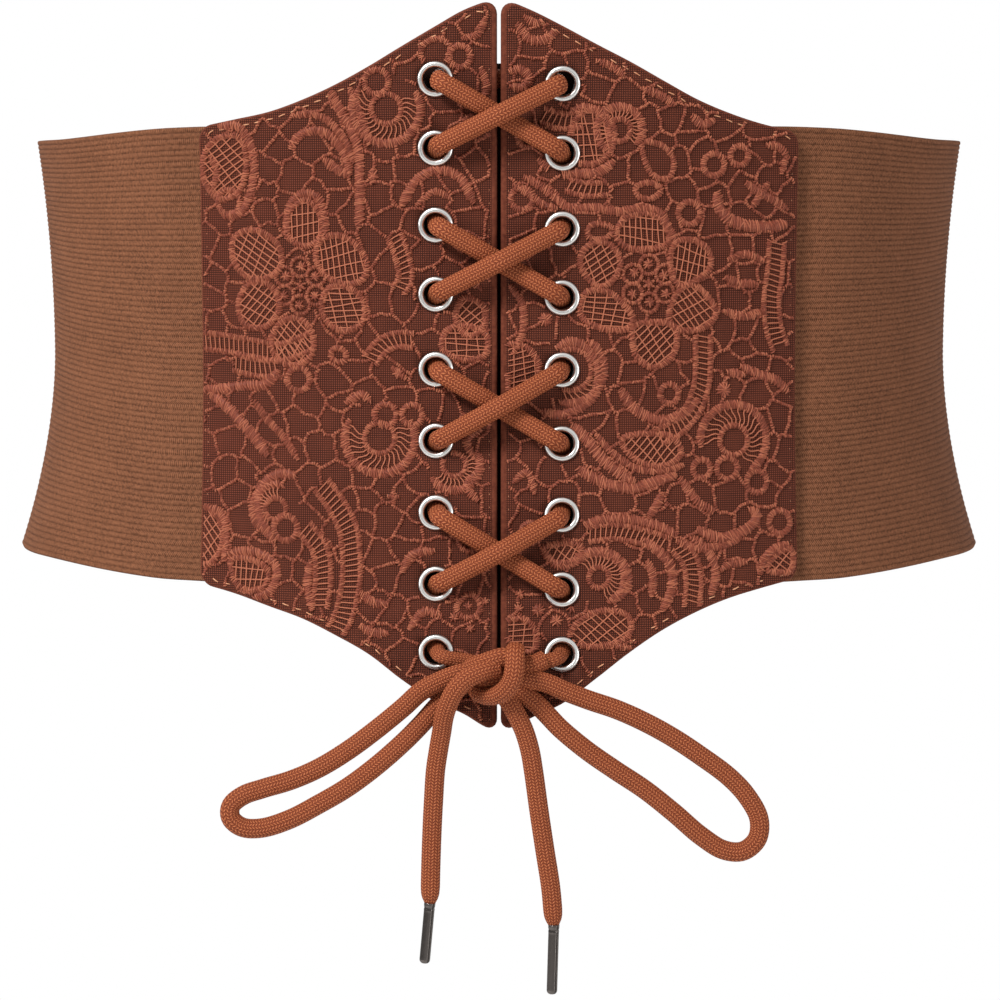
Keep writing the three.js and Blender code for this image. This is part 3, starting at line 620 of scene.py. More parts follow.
def braided(name, points, wanted=(0, -1, 0), step=0.7, gripped=None):
    path = smooth_line(points, step)
    left = np.arange(len(path))[::-1] * step
    girth = np.ones(len(path))
    if gripped == "metal":
        girth = np.interp(left, [0, 0.7, 1.6, 2.8, 4.5], [0.55, 0.68, 0.84, 0.95, 1])
    if gripped == "knot":
        girth = np.interp(np.minimum(left, left[::-1]), [0, 14, 20], [0.76, 0.76, 1])
    if callable(wanted):
        wanted = wanted(path)
    wanted = np.broadcast_to(np.asarray(wanted, float), path.shape)
    source = lines_object([path], {"face": [lay_flat(path, wanted)], "girth": [girth]})
    mesh = run_nodes(source, cord_tree, {})
    made = place_mesh(name, mesh)
    attach(made)
    return made, path


# %% [markdown]
# ## The lacing
# One cord starts behind the top pair of eyelets, comes out through both, and crosses
# itself in front from every odd row to the even row below it. From there it runs
# straight down behind the panel to the next row, and so on to the last pair, from
# where both halves go to the knot. At each crossing the half that comes from the
# upper right lies on top.

# %% Lacing
eyelet_along = 17.6
eyelet_top = 78.5
eyelet_fall = 159.2
eyelet_rows = range(1, 10)
eyelet_room = 0.8
bend_radius = 2.75
cord_behind = -3.5
cord_in_front = 5.2
crossing_over, crossing_under = 8.8, 4.4
knot_height = -86.8
eyelet_places = {
    -1: [-0.004, 0.115, 0.249, 0.37, 0.502, 0.628, 0.754, 0.879, 0.998],
    1: [0.004, 0.124, 0.256, 0.376, 0.503, 0.633, 0.758, 0.889, 1.002]}


def eyelet_z(side, row):
    return eyelet_top - eyelet_fall * eyelet_places[side][row - 1]


def through(along, z, towards, off):
    rows = []
    sign = 1 if off > 0 else -1
    size = math.hypot(*towards)
    for turn in (0, 30, 60, 90):
        angle = math.radians(turn)
        reach = (eyelet_room + bend_radius * (1 - math.sin(angle))) / size
        rows.append((along + towards[0] * reach, z + towards[1] * reach,
                     off - sign * bend_radius * (1 - math.cos(angle))))
    return rows


def half_lacing(side):
    rows = []
    for row in eyelet_rows:
        z, along = eyelet_z(side, row), side * eyelet_along
        if row == eyelet_rows[-1]:
            rows += through(along, z, (0, 1), cord_behind)
            rows += reversed(through(along, z, (-side, -0.28), cord_in_front + 0.1))
            rows.append((side * 9.5, z - (z - knot_height) * 0.25, 5.4))
            rows.append((side * 4.0, z - (z - knot_height) * 0.4, 6.4))
        elif row % 2 == 1:
            fall = z - eyelet_z(-side, row + 1)
            slant = (-side * 2 * eyelet_along, -fall)
            came_from = (-side, 0) if row == 1 else (0, 1)
            rows += through(along, z, came_from, cord_behind)
            rows += reversed(through(along, z, slant, cord_in_front))
            middle = crossing_over if side > 0 else crossing_under
            for share in (0.36, 0.5, 0.64):
                off = middle + (0 if share == 0.5 else 0.3 * (cord_in_front - middle))
                rows.append((along * (1 - 2 * share), z - fall * share, off))
            side = -side
        else:
            rise = eyelet_z(-side, row - 1) - z
            rows += through(along, z, (-side * 2 * eyelet_along, rise), cord_in_front)
            rows += reversed(through(along, z, (0, -1), cord_behind))
    return rows


bar = [(share * eyelet_along, eyelet_z(-1, 1) + share * 0.6, cord_behind)
       for share in (-0.45, 0, 0.45)]
rows = np.array(half_lacing(-1)[::-1] + bar + half_lacing(1))


def belt_outward(path):
    x, y, z = path.T
    nx, ny = outward_at(x, y, z)
    return np.stack([nx, ny, np.zeros(len(path))], axis=1)


lacing, lacing_path = braided("lacing_cord", worn(*rows.T), belt_outward, gripped="knot")
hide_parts("lacing")
print("lacing:", round(length_of(lacing_path)), "mm")

# %% [markdown]
# ## The bow
# Two loops and two tails come out of the knot. They are free cords, and each one's
# length is printed. The points of a route are given across and down from the knot, as
# shares of how far the strand reaches and hangs, and out from the panels' face, in cord
# thicknesses.

# %% Loops and tails
knot_face = -107.03
cord_thickness = 4.8
loop_left_route = [
    (0.011, -0.06, 1.56), (0.081, -0.057, 1.56), (0.148, -0.039, 1.51), (0.219, 0.011, 1.29),
    (0.287, 0.079, 1.14), (0.356, 0.191, 0.99), (0.461, 0.346, 0.83), (0.566, 0.485, 0.72),
    (0.671, 0.599, 0.66), (0.775, 0.68, 0.62), (0.88, 0.736, 0.62), (0.955, 0.783, 0.62),
    (1, 0.853, 0.62), (1, 0.933, 0.62), (0.959, 0.993, 0.62), (0.888, 1, 0.62),
    (0.783, 0.942, 0.66), (0.671, 0.838, 0.7), (0.566, 0.728, 0.72), (0.462, 0.591, 0.74),
    (0.357, 0.428, 0.74), (0.29, 0.308, 0.74), (0.223, 0.175, 0.74), (0.156, 0.069, 0.74),
    (0.074, -0.015, 0.83)]
loop_right_route = [
    (0.011, -0.027, 1.43), (0.061, -0.019, 1.43), (0.114, -0.004, 1.41), (0.181, 0.021, 1.24),
    (0.252, 0.069, 1.12), (0.344, 0.122, 1.04), (0.452, 0.178, 0.95), (0.559, 0.251, 0.87),
    (0.667, 0.341, 0.79), (0.775, 0.449, 0.7), (0.884, 0.571, 0.64), (0.953, 0.682, 0.62),
    (1, 0.815, 0.62), (0.993, 0.93, 0.62), (0.939, 1, 0.62), (0.866, 0.994, 0.62),
    (0.777, 0.911, 0.7), (0.669, 0.771, 0.79), (0.559, 0.64, 0.83), (0.445, 0.526, 0.91),
    (0.335, 0.41, 0.99), (0.235, 0.285, 1.04), (0.182, 0.202, 1.04), (0.134, 0.129, 1.1),
    (0.084, 0.071, 1.16), (0.027, 0.016, 1.24)]
tail_left_route = [
    (0, -0.064, 2.2), (0.214, -0.052, 2.45), (0.485, -0.011, 2.54), (0.635, 0.041, 2.41),
    (0.737, 0.107, 2.12), (0.791, 0.164, 1.79), (0.822, 0.225, 1.45), (0.871, 0.312, 1.2),
    (0.915, 0.403, 1.04), (0.945, 0.538, 0.87), (0.968, 0.673, 0.74), (0.987, 0.83, 0.64),
    (1, 1, 0.62)]
tail_right_route = [
    (0, 0.033, 1.45), (0.135, 0.071, 1.45), (0.288, 0.129, 1.43), (0.442, 0.199, 1.29),
    (0.559, 0.285, 1.12), (0.623, 0.367, 1.04), (0.724, 0.53, 0.91), (0.834, 0.693, 0.79),
    (0.944, 0.853, 0.68), (1, 1, 0.62)]


def bow_points(route, side, reach, drop):
    across, down, out = np.array(route).T
    return np.stack([side * across * reach, knot_face - out * cord_thickness,
                     knot_height - down * drop], axis=1)


strands = {}
for name, route, side, reach, drop in (
        ("bow_loop_left", loop_left_route, -1, 74.9, 42.4),
        ("bow_loop_right", loop_right_route, 1, 72.7, 48.9),
        ("lace_tail_left", tail_left_route, -1, 19.3, 63.7),
        ("lace_tail_right", tail_right_route, 1, 15.4, 69.9)):
    made, path = braided(name + "_cord", bow_points(route, side, reach, drop),
                         gripped="metal" if "tail" in name else None)
    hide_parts(name)
    strands[name] = (made, path)
    print(name, round(length_of(path)), "mm")

# %% [markdown]
# ## The knot
# Up close the knot is one turn of the cord over the front of the strands that meet
# behind it, with a second turn showing above it on the left. Modelling a true
# tied knot would hide most of its length inside; these few strands show what the
# eye sees, and they run into each other where a real one goes under.

# %% Knot
knot_strands = [
    [(4.2, -112.5, -79.3), (4.6, -116.4, -77.9), (4.5, -119.6, -78.8), (4.3, -121.2, -82.3),
     (3.7, -121.0, -85.6), (2.3, -119.9, -88.2), (-0.2, -117.6, -90.4), (-3.4, -115.2, -91.2),
     (-6.2, -112.6, -90.6), (-7.0, -110.6, -88.6)],
    [(3.6, -117.4, -80.2), (1.0, -117.8, -80.0), (-1.8, -117.6, -80.8), (-4.8, -116.6, -82.0),
     (-8.0, -114.4, -83.6)],
    [(-7.5, -112.2, -84.6), (-3.6, -114.0, -86.6), (0.4, -114.6, -86.0), (4.6, -114.2, -84.2),
     (8.0, -112.4, -83.4)],
    [(-3.8, -110.4, -83.6), (-0.4, -112.2, -82.6), (3.6, -113.2, -82.4), (8.6, -113.0, -83.0),
     (12.6, -111.4, -81.6)]]
for number, points in enumerate(knot_strands):
    made, path = braided("knot_strand_" + str(number + 1), points, step=0.4)
    if number == 0:
        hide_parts("bow_knot")

# %% [markdown]
# ## Metal ends
# Each tail ends in a tube of thin metal rolled round the cord: an aglet. It has a
# crimped collar where it grips the cord, a seam down one side and a closed, slightly
# rounded tip. A turned shape on a lathe would lack the seam, so the radius is given by
# a formula of both the place along the tube and the angle round it.

# %% Metal ends
def aglet(name, top, foot, radius):
    top, foot = np.array(top, float), np.array(foot, float)
    length = np.linalg.norm(foot - top)
    down = (foot - top) / length
    right = np.cross(down, [0, -1, 0])
    right /= np.linalg.norm(right)
    front = np.cross(right, down)
    sides, collar, tip, seam_angle = 48, 2.2, 1.1, 2.35
    steps = [0, 0.15, 0.4, 0.9, 1.4, 1.8, collar, 2.8]
    steps += list(np.linspace(3.6, length - 1.4, 14))
    steps += [length - left for left in (tip, 0.85, 0.6, 0.35, 0.15, 0.04, 0)]
    points, faces, seam_painted_shade = [], [], []
    for at in steps:
        swell = 1.0
        if at < collar:
            swell = 1.06 - 0.1 * math.exp(-((at - 1.4) / 0.35) ** 2)
        left = length - at
        if left < tip:
            swell = 0.3 + 0.7 * math.sqrt(max(0.0, 1 - ((tip - left) / tip) ** 2))
        for k in range(sides):
            angle = 2 * math.pi * k / sides
            seam = math.exp(-((angle - seam_angle) / 0.13) ** 2)
            r = radius * swell * (1 - 0.16 * seam)
            seam_painted_shade.append(seam)
            points.append(top + down * at + right * r * math.cos(angle) + front * r * math.sin(angle))
    rings = len(steps)
    for i in range(rings - 1):
        for k in range(sides):
            a, b = i * sides + k, i * sides + (k + 1) % sides
            faces.append((a, b, b + sides, a + sides))
    faces.append(range(sides))
    faces.append(range((rings - 1) * sides, rings * sides))
    made = piece(name, points, faces, gunmetal)
    # The stored seam values darken the metal there: painted shade in the seam.
    store(made, "seam", np.column_stack([seam_painted_shade] * 3))
    attach(made)
    return made


aglet_left = aglet("aglet_left_metal", (-19.35, -110.0, -150.4), (-20.9, -110.0, -167.6), 1.5)
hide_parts("aglet_left")
aglet_right = aglet("aglet_right_metal", (15.4, -110.0, -156.6), (14.85, -110.0, -176.4), 1.5)
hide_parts("aglet_right")

# %% [markdown]
# The length of each loop and tail is measured here.

# %% Measuring the cords
for name in ("bow_loop_left", "bow_loop_right"):
    made, path = strands[name]
    length = length_of(path)
for name, end in (("lace_tail_left", aglet_left), ("lace_tail_right", aglet_right)):
    made, path = strands[name]
    length = length_of(path)

# %% [markdown]
# ## The front panels
# Each panel is a stiff laminated cloth plate, 2 mm thick, with a tall peak and a deep
# tip at the opening. Its outline is read from short tables, as a pattern cutter would
# mark it, smoothed, and rounded at the corners. The edge is turned over a cord, so it
# is round, with a shallow pressed line just inside it.

# %% Panel outline
panel_width = 86.2
half_gap = 0.5
peak_height = 101.0
tip_depth = 102.0
peak_corner, tip_corner, outer_corner = 4.5, 3.2, 3.8
hole_radius = 4.15
hole_sides = 24
outline_out = [0, 0.04, 0.11, 0.2, 0.31, 0.42, 0.53, 0.64, 0.75, 0.87, 1]
outline_top = {
    -1: [1.001, 0.99, 0.967, 0.924, 0.87, 0.815, 0.766, 0.726, 0.695, 0.675, 0.655],
    1: [1, 0.988, 0.963, 0.925, 0.876, 0.829, 0.778, 0.729, 0.692, 0.662, 0.641]}
outline_bottom = {
    -1: [1, 0.989, 0.954, 0.922, 0.863, 0.794, 0.744, 0.701, 0.671, 0.639, 0.614],
    1: [1, 0.99, 0.961, 0.927, 0.86, 0.79, 0.73, 0.684, 0.649, 0.623, 0.6]}


def read_table(places, values, at):
    line = smooth_line(np.stack([np.array(places) * panel_width, np.array(values) * 100], 1), 0.4)
    return np.interp(at, line[:, 0], line[:, 1]) / 100


def rounded(gap, radius):
    inside = np.maximum(radius ** 2 - (radius - gap) ** 2, 0)
    return np.where(gap < radius, radius - np.sqrt(inside), 0)


def panel_outline(side, step=1.0):
    ends = 1 - np.cos(np.linspace(0, np.pi / 2, 12))
    out = np.unique(np.concatenate([ends * peak_corner, np.linspace(5, panel_width - 4.5, 60),
                                    panel_width - ends * outer_corner]))
    top = read_table(outline_out, outline_top[side], out) * peak_height
    top -= rounded(out, peak_corner) + rounded(panel_width - out, outer_corner)
    bottom = -read_table(outline_out, outline_bottom[side], out) * tip_depth
    bottom += rounded(out, tip_corner) + rounded(panel_width - out, outer_corner)
    along = side * (half_gap + out)
    ring = np.vstack([np.stack([along, top], 1), np.stack([along, bottom], 1)[::-1]])
    ring = np.vstack([ring, ring[:1]])
    run = np.concatenate([[0], np.cumsum(np.linalg.norm(np.diff(ring, axis=0), axis=1))])
    at = np.linspace(0, run[-1], int(run[-1] / step) + 1)[:-1]
    return np.stack([np.interp(at, run, ring[:, i]) for i in (0, 1)], axis=1)


def area_of(ring):
    x, y = ring.T
    return 0.5 * float(np.sum(x * np.roll(y, -1) - np.roll(x, -1) * y))


def inset(ring, distance):
    step = np.roll(ring, -2, axis=0) - np.roll(ring, 2, axis=0)
    inward = np.stack([-step[:, 1], step[:, 0]], axis=1) * np.sign(area_of(ring))
    inward /= np.linalg.norm(inward, axis=1)[:, None]
    return ring + inward * distance


def inside(points, ring):
    x, y = np.asarray(points).T
    within = np.zeros(len(x), bool)
    for (ax, ay), (bx, by) in zip(ring, np.roll(ring, -1, axis=0)):
        if ay != by:
            crosses = (ay > y) != (by > y)
            within ^= crosses & (x < (bx - ax) * (y - ay) / (by - ay) + ax)
    return within


outlines = {side: panel_outline(side) for side in (-1, 1)}
for side in (-1, 1):
    print("panel cut:", round(abs(area_of(outlines[side])) / 100, 1), "cm2")

# %% [markdown]
# The flat faces are filled by a triangulation that keeps the outline and the round
# holes, and the rim is a row of rings that go round the edge like the steps of a
# rounded moulding. Both share their points, so merging doubles closes the plate. The
# pressed border is broad along the opening and 2.6 times narrower everywhere else.

# %% Panel plates
def raised(line, height):
    return np.column_stack([line, np.full(len(line), height)])


def circle(centre, radius, count):
    turn = np.linspace(0, 2 * np.pi, count, endpoint=False)
    return np.asarray(centre) + radius * np.stack([np.cos(turn), np.sin(turn)], axis=1)


def fill(outer, holes, spacing):
    low, high = outer.min(axis=0), outer.max(axis=0)
    grid = np.stack(np.meshgrid(np.arange(low[0], high[0], spacing),
                                np.arange(low[1], high[1], spacing)), -1).reshape(-1, 2)
    keep = inside(grid, inset(outer, spacing * 0.5))
    for centre, radius in holes:
        keep &= np.linalg.norm(grid - centre, axis=1) > radius + 0.8
    loops = [outer] + [circle(c, r, hole_sides) for c, r in holes]
    points, edges = [], []
    for loop in loops:
        start = len(points)
        points += [Vector(p) for p in loop]
        edges += [(start + i, start + (i + 1) % len(loop)) for i in range(len(loop))]
    points += [Vector(p) for p in grid[keep]]
    points, _, faces, *_ = delaunay_2d_cdt(points, edges, [], 0, 1e-6)
    points = np.array([tuple(p) for p in points])
    faces = np.array([f for f in faces if len(f) == 3])
    middle = points[faces].mean(axis=1)
    keep = inside(middle, outer)
    for centre, radius in holes:
        keep &= ~inside(middle, circle(centre, radius, hole_sides))
    return points, faces[keep]


rim = [(0.9, 0.0), (0.35, 0.12), (0.06, 0.5), (0.0, 1.0), (0.06, 1.45), (0.3, 1.8), (0.7, 1.96),
       (1.2, 1.99), (1.45, 1.9), (1.7, 1.97), (2.1, 2.0)]
far_in = 9.0


def edge_distance(points, ring):
    gap = np.full(len(points), far_in)
    near = ~inside(points, inset(ring, 4.0))
    spots = points[near]
    a = ring[None]
    b = np.roll(ring, -1, axis=0)[None]
    for part in np.array_split(np.arange(len(spots)), max(1, len(spots) // 2000)):
        p = spots[part][:, None]
        t = np.clip(np.sum((p - a) * (b - a), -1) / np.sum((b - a) ** 2, -1), 0, 1)
        d = np.linalg.norm(p - a - t[..., None] * (b - a), axis=-1).min(axis=1)
        gap[np.flatnonzero(near)[part]] = np.minimum(d, far_in)
    return gap


def plate(side):
    ring = outlines[side]
    flat = [raised(inset(ring, gap), off) for gap, off in rim]
    faces = []
    n = len(ring)
    for i in range(len(rim) - 1):
        for k in range(n):
            m = (k + 1) % n
            faces.append((i * n + k, i * n + m, (i + 1) * n + m, (i + 1) * n + k))
    count = n * len(rim)
    holes = [((side * eyelet_along, eyelet_z(side, row)), hole_radius) for row in eyelet_rows]
    for gap, off in (rim[-1], rim[0]):
        points, triangles = fill(inset(ring, gap), holes, 4.0)
        flat.append(raised(points, off))
        faces += (triangles + count).tolist()
        count += len(points)
    n = hole_sides
    for centre, radius in holes:
        hoop = circle(centre, radius, n)
        flat += [raised(hoop, off) for off in (rim[0][1], rim[-1][1])]
        faces += [(count + k, count + (k + 1) % n, count + n + (k + 1) % n, count + n + k)
                  for k in range(n)]
        count += 2 * n
    return np.vstack(flat), faces


centre_border = 3
narrower = 2.6


def panel(name, side):
    flat, faces = plate(side)
    made = piece(name, flat, faces, ground, merge=True)
    points = np.array([v.co for v in made.data.vertices]) / MM
    gap = edge_distance(points[:, :2], outlines[side])
    gap *= np.where(np.abs(points[:, 0]) < half_gap + centre_border, 1.0, narrower)
    store(made, "cloth", np.column_stack([points[:, :2], gap]))
    laid = worn(points[:, 0], points[:, 1], points[:, 2])
    made.data.vertices.foreach_set("co", (laid * MM).astype(np.float32).ravel())
    made.data.update()
    show_size(name, made.data)
    attach(made)
    return made


panels = {side: panel("panel_cloth_" + label, side) for side, label in ((-1, "left"), (1, "right"))}
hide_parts("panel_left")
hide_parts("panel_right")

# %% [markdown]
# ## The elastic
# One strip of elastic runs from behind one panel round the back to behind the other.
# Its ribs are part of its mesh: four rows of points to each rib, with the valley
# between two ribs shared by both. It hugs the body a little less where it passes
# under the panels, and it is drawn in slightly round the sides, where its ribs rise.

# %% Elastic band
elastic_rise, elastic_fall = 66.3, 62.4
elastic_narrowing = 3.1
elastic_thickness = 1.5
elastic_lap = 10
elastic_behind, elastic_stand_off = -2.1, 0.4
rib_height = 0.3
rib_lift = 5.0
half_back = 300


def smoothstep(value, low, high):
    t = np.clip((value - low) / (high - low), 0, 1)
    return t * t * (3 - 2 * t)


def elastic_band():
    columns, ribs = 180, 80
    shape = [(0.0, 0.0), (0.14, 0.62), (0.5, 1.0), (0.86, 0.62)]
    v = np.array([(i + at) / ribs for i in range(ribs) for at, _ in shape] + [1.0])
    proud = np.array([h for _ in range(ribs) for _, h in shape] + [0.0])
    lap = half_gap + panel_width - elastic_lap
    places = np.linspace(0, 1, columns + 1)
    along_share = 2 * np.minimum(places, 1 - places)
    rows = []
    for outer, heights in ((1, v), (0, np.linspace(0, 1, 17))):
        u, h = np.meshgrid(places, heights, indexing="ij")
        reach = along_share[:, None] * np.ones_like(h)
        narrow = elastic_narrowing * smoothstep(reach * half_back, 6, 70)
        z = -elastic_fall + narrow + h * (elastic_rise + elastic_fall - 2 * narrow)
        z += rib_lift * np.sin(np.pi * h) * smoothstep(reach * half_back, 10, 110)
        half = np.interp(z, ring_heights, ring_half)
        along = reach * (half - lap)
        rise = smoothstep(along, 11, 25)
        off = elastic_behind + rise * (elastic_stand_off - elastic_behind)
        if outer:
            off = off + elastic_thickness - rib_height + rib_height * proud[None, :]
            off -= 0.35 * (smoothstep(h, 0, 0.004) < 0.5)
        spot = np.where(u < 0.5, 1, -1) * (lap + along)
        run = np.where(u < 0.5, lap + along, 2 * half - lap - along)
        rows.append((worn(spot, z, off), np.stack([run, z + elastic_fall, np.broadcast_to(
            proud[None, :] if outer else 0.3, z.shape)], -1)))
    (top, top_told), (low, low_told) = rows
    points = np.vstack([top.reshape(-1, 3), low.reshape(-1, 3)])
    told = np.vstack([top_told.reshape(-1, 3), low_told.reshape(-1, 3)])
    m, k = top.shape[1], low.shape[1]
    start = len(top) * m
    faces = []
    for i in range(columns):
        faces += [(i * m + j, (i + 1) * m + j, (i + 1) * m + j + 1, i * m + j + 1) for j in range(m - 1)]
        faces += [(start + i * k + j, start + i * k + j + 1, start + (i + 1) * k + j + 1,
                   start + (i + 1) * k + j) for j in range(k - 1)]
        faces.append((i * m, start + i * k, start + (i + 1) * k, (i + 1) * m))
        faces.append(((i + 2) * m - 1, start + (i + 2) * k - 1, start + (i + 1) * k - 1, (i + 1) * m - 1))
    for i in (0, columns):
        outer_side = [i * m + j for j in range(m)]
        inner_side = [start + i * k + j for j in range(k)]
        faces.append(outer_side + inner_side[::-1])
    made = piece("elastic_band_cloth", points, faces, elastic)
    store(made, "cloth", told)
    show_size(made.name, made.data)
    return made


band = elastic_band()
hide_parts("elastic_band")
attach(band)

# %% [markdown]
# ## The strip behind the opening
# A dark strip lies behind the gap and the eyelets, so that nothing shows through them.
# It is one sheet with thickness. The cord runs between it and the panels, so it hangs
# a cord's width behind them, and its two edges rise to their backs, where they are
# sewn. Its lower corners are cut at a slant, to stay behind the panels' tips.

# %% Placket
placket_flat = eyelet_along + 5.05
placket_slope, placket_tab = 5.5, 4
placket_half = placket_flat + placket_slope + placket_tab
placket_top, placket_low = 83.5, -91
placket_behind, placket_climb = -6.2, 5.9
placket_thickness = 1.2
slant_from, slant = 14, 0.6


def placket_off(along):
    return placket_climb * smoothstep(along, placket_flat, placket_flat + placket_slope)


def placket():
    columns, rows = 40, 44
    faces, points, told = [], [], []
    for under in (0, placket_thickness):
        for i in range(columns + 1):
            for j in range(rows + 1):
                along = placket_half * (2 * i / columns - 1)
                low = placket_low + slant * max(0, abs(along) - slant_from)
                z = low + (placket_top - low) * j / rows
                off = placket_behind + placket_off(abs(along))
                pinch = 0.3 if i in (0, columns) or j in (0, rows) else 0.0
                points.append(worn(along, z, off - under + (pinch if under else -pinch)))
                told.append((along, z, far_in))
    n, size = rows + 1, (rows + 1) * (columns + 1)
    for i in range(columns):
        for j in range(rows):
            a = i * n + j
            faces.append((a, a + n, a + n + 1, a + 1))
            faces.append((size + a, size + a + 1, size + a + n + 1, size + a + n))
    loop = [i * n for i in range(columns)] + [columns * n + j for j in range(rows)]
    loop += [i * n + rows for i in range(columns, 0, -1)] + [j for j in range(rows, 0, -1)]
    for a, b in zip(loop, loop[1:] + loop[:1]):
        faces.append((a, size + a, size + b, b))
    made = piece("placket_cloth", points, faces, twill)
    store(made, "cloth", told)
    return made


strip = placket()
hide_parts("placket")
attach(strip)

# %% [markdown]
# ## The eyelets
# An eyelet is a tube pushed through the hole and rolled over on both faces. Its
# section is drawn once and turned round an axis, and a Geometry Nodes tree puts the
# ring on each of the eighteen places, turned to face straight out of the panel there.

# %% Eyelets
section = [(3.35, -0.75), (3.35, 2.2), (3.4, 2.5), (3.58, 2.8), (3.92, 2.98), (4.3, 2.98),
           (4.66, 2.8), (4.9, 2.5), (4.97, 2.22), (4.9, 2.04), (3.9, 2.02), (3.9, -0.02),
           (4.7, -0.04), (4.78, -0.22), (4.7, -0.5), (4.4, -0.82), (4.0, -0.98), (3.66, -0.94)]
spins = 56
points = [(r * math.cos(2 * math.pi * k / spins), r * math.sin(2 * math.pi * k / spins), h)
          for r, h in section for k in range(spins)]
n = len(section)
faces = [(i * spins + k, i * spins + (k + 1) % spins,
          (i + 1) % n * spins + (k + 1) % spins, (i + 1) % n * spins + k)
         for i in range(n) for k in range(spins)]
one_eyelet = piece("one_eyelet", np.array(points) / MM, faces, nickel)

eyelet_tree, given = start_tree("Set eyelets", [("Ring", "NodeSocketObject", None)])
axis = add(eyelet_tree, "GeometryNodeInputNamedAttribute", {"data_type": "FLOAT_VECTOR"}, {"Name": "face"})
turn = add(eyelet_tree, "FunctionNodeAlignRotationToVector", {"axis": "Z"}, {"Vector": axis.outputs[0]})
ring = add(eyelet_tree, "GeometryNodeObjectInfo", inputs={"Object": given["Ring"]})
spots = add(eyelet_tree, "GeometryNodeMeshToPoints", inputs={"Mesh": given["Geometry"]})
placed = add(eyelet_tree, "GeometryNodeInstanceOnPoints", inputs={
    "Points": spots.outputs[0], "Instance": ring.outputs["Geometry"], "Rotation": turn.outputs[0]})
end_tree(eyelet_tree, placed.outputs[0], nickel)

spots, facing = [], []
for side in (-1, 1):
    for row in eyelet_rows:
        along, z = side * eyelet_along, eyelet_z(side, row)
        across = worn(along + 0.5, z, 2) - worn(along - 0.5, z, 2)
        upward = worn(along, z + 0.5, 2) - worn(along, z - 0.5, 2)
        out = np.cross(across, upward)
        spots.append(worn(along, z, 0))
        facing.append(out / np.linalg.norm(out))
source = lines_object([np.array(spots)], {"face": [np.array(facing)]})
mesh = run_nodes(source, eyelet_tree, {"Ring": one_eyelet})
bpy.data.objects.remove(one_eyelet)
eyelets = place_mesh("eyelets", mesh)
attach(eyelets)
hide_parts(*["eyelet_%s_%d" % (label, row) for label in ("left", "right")
                       for row in eyelet_rows])
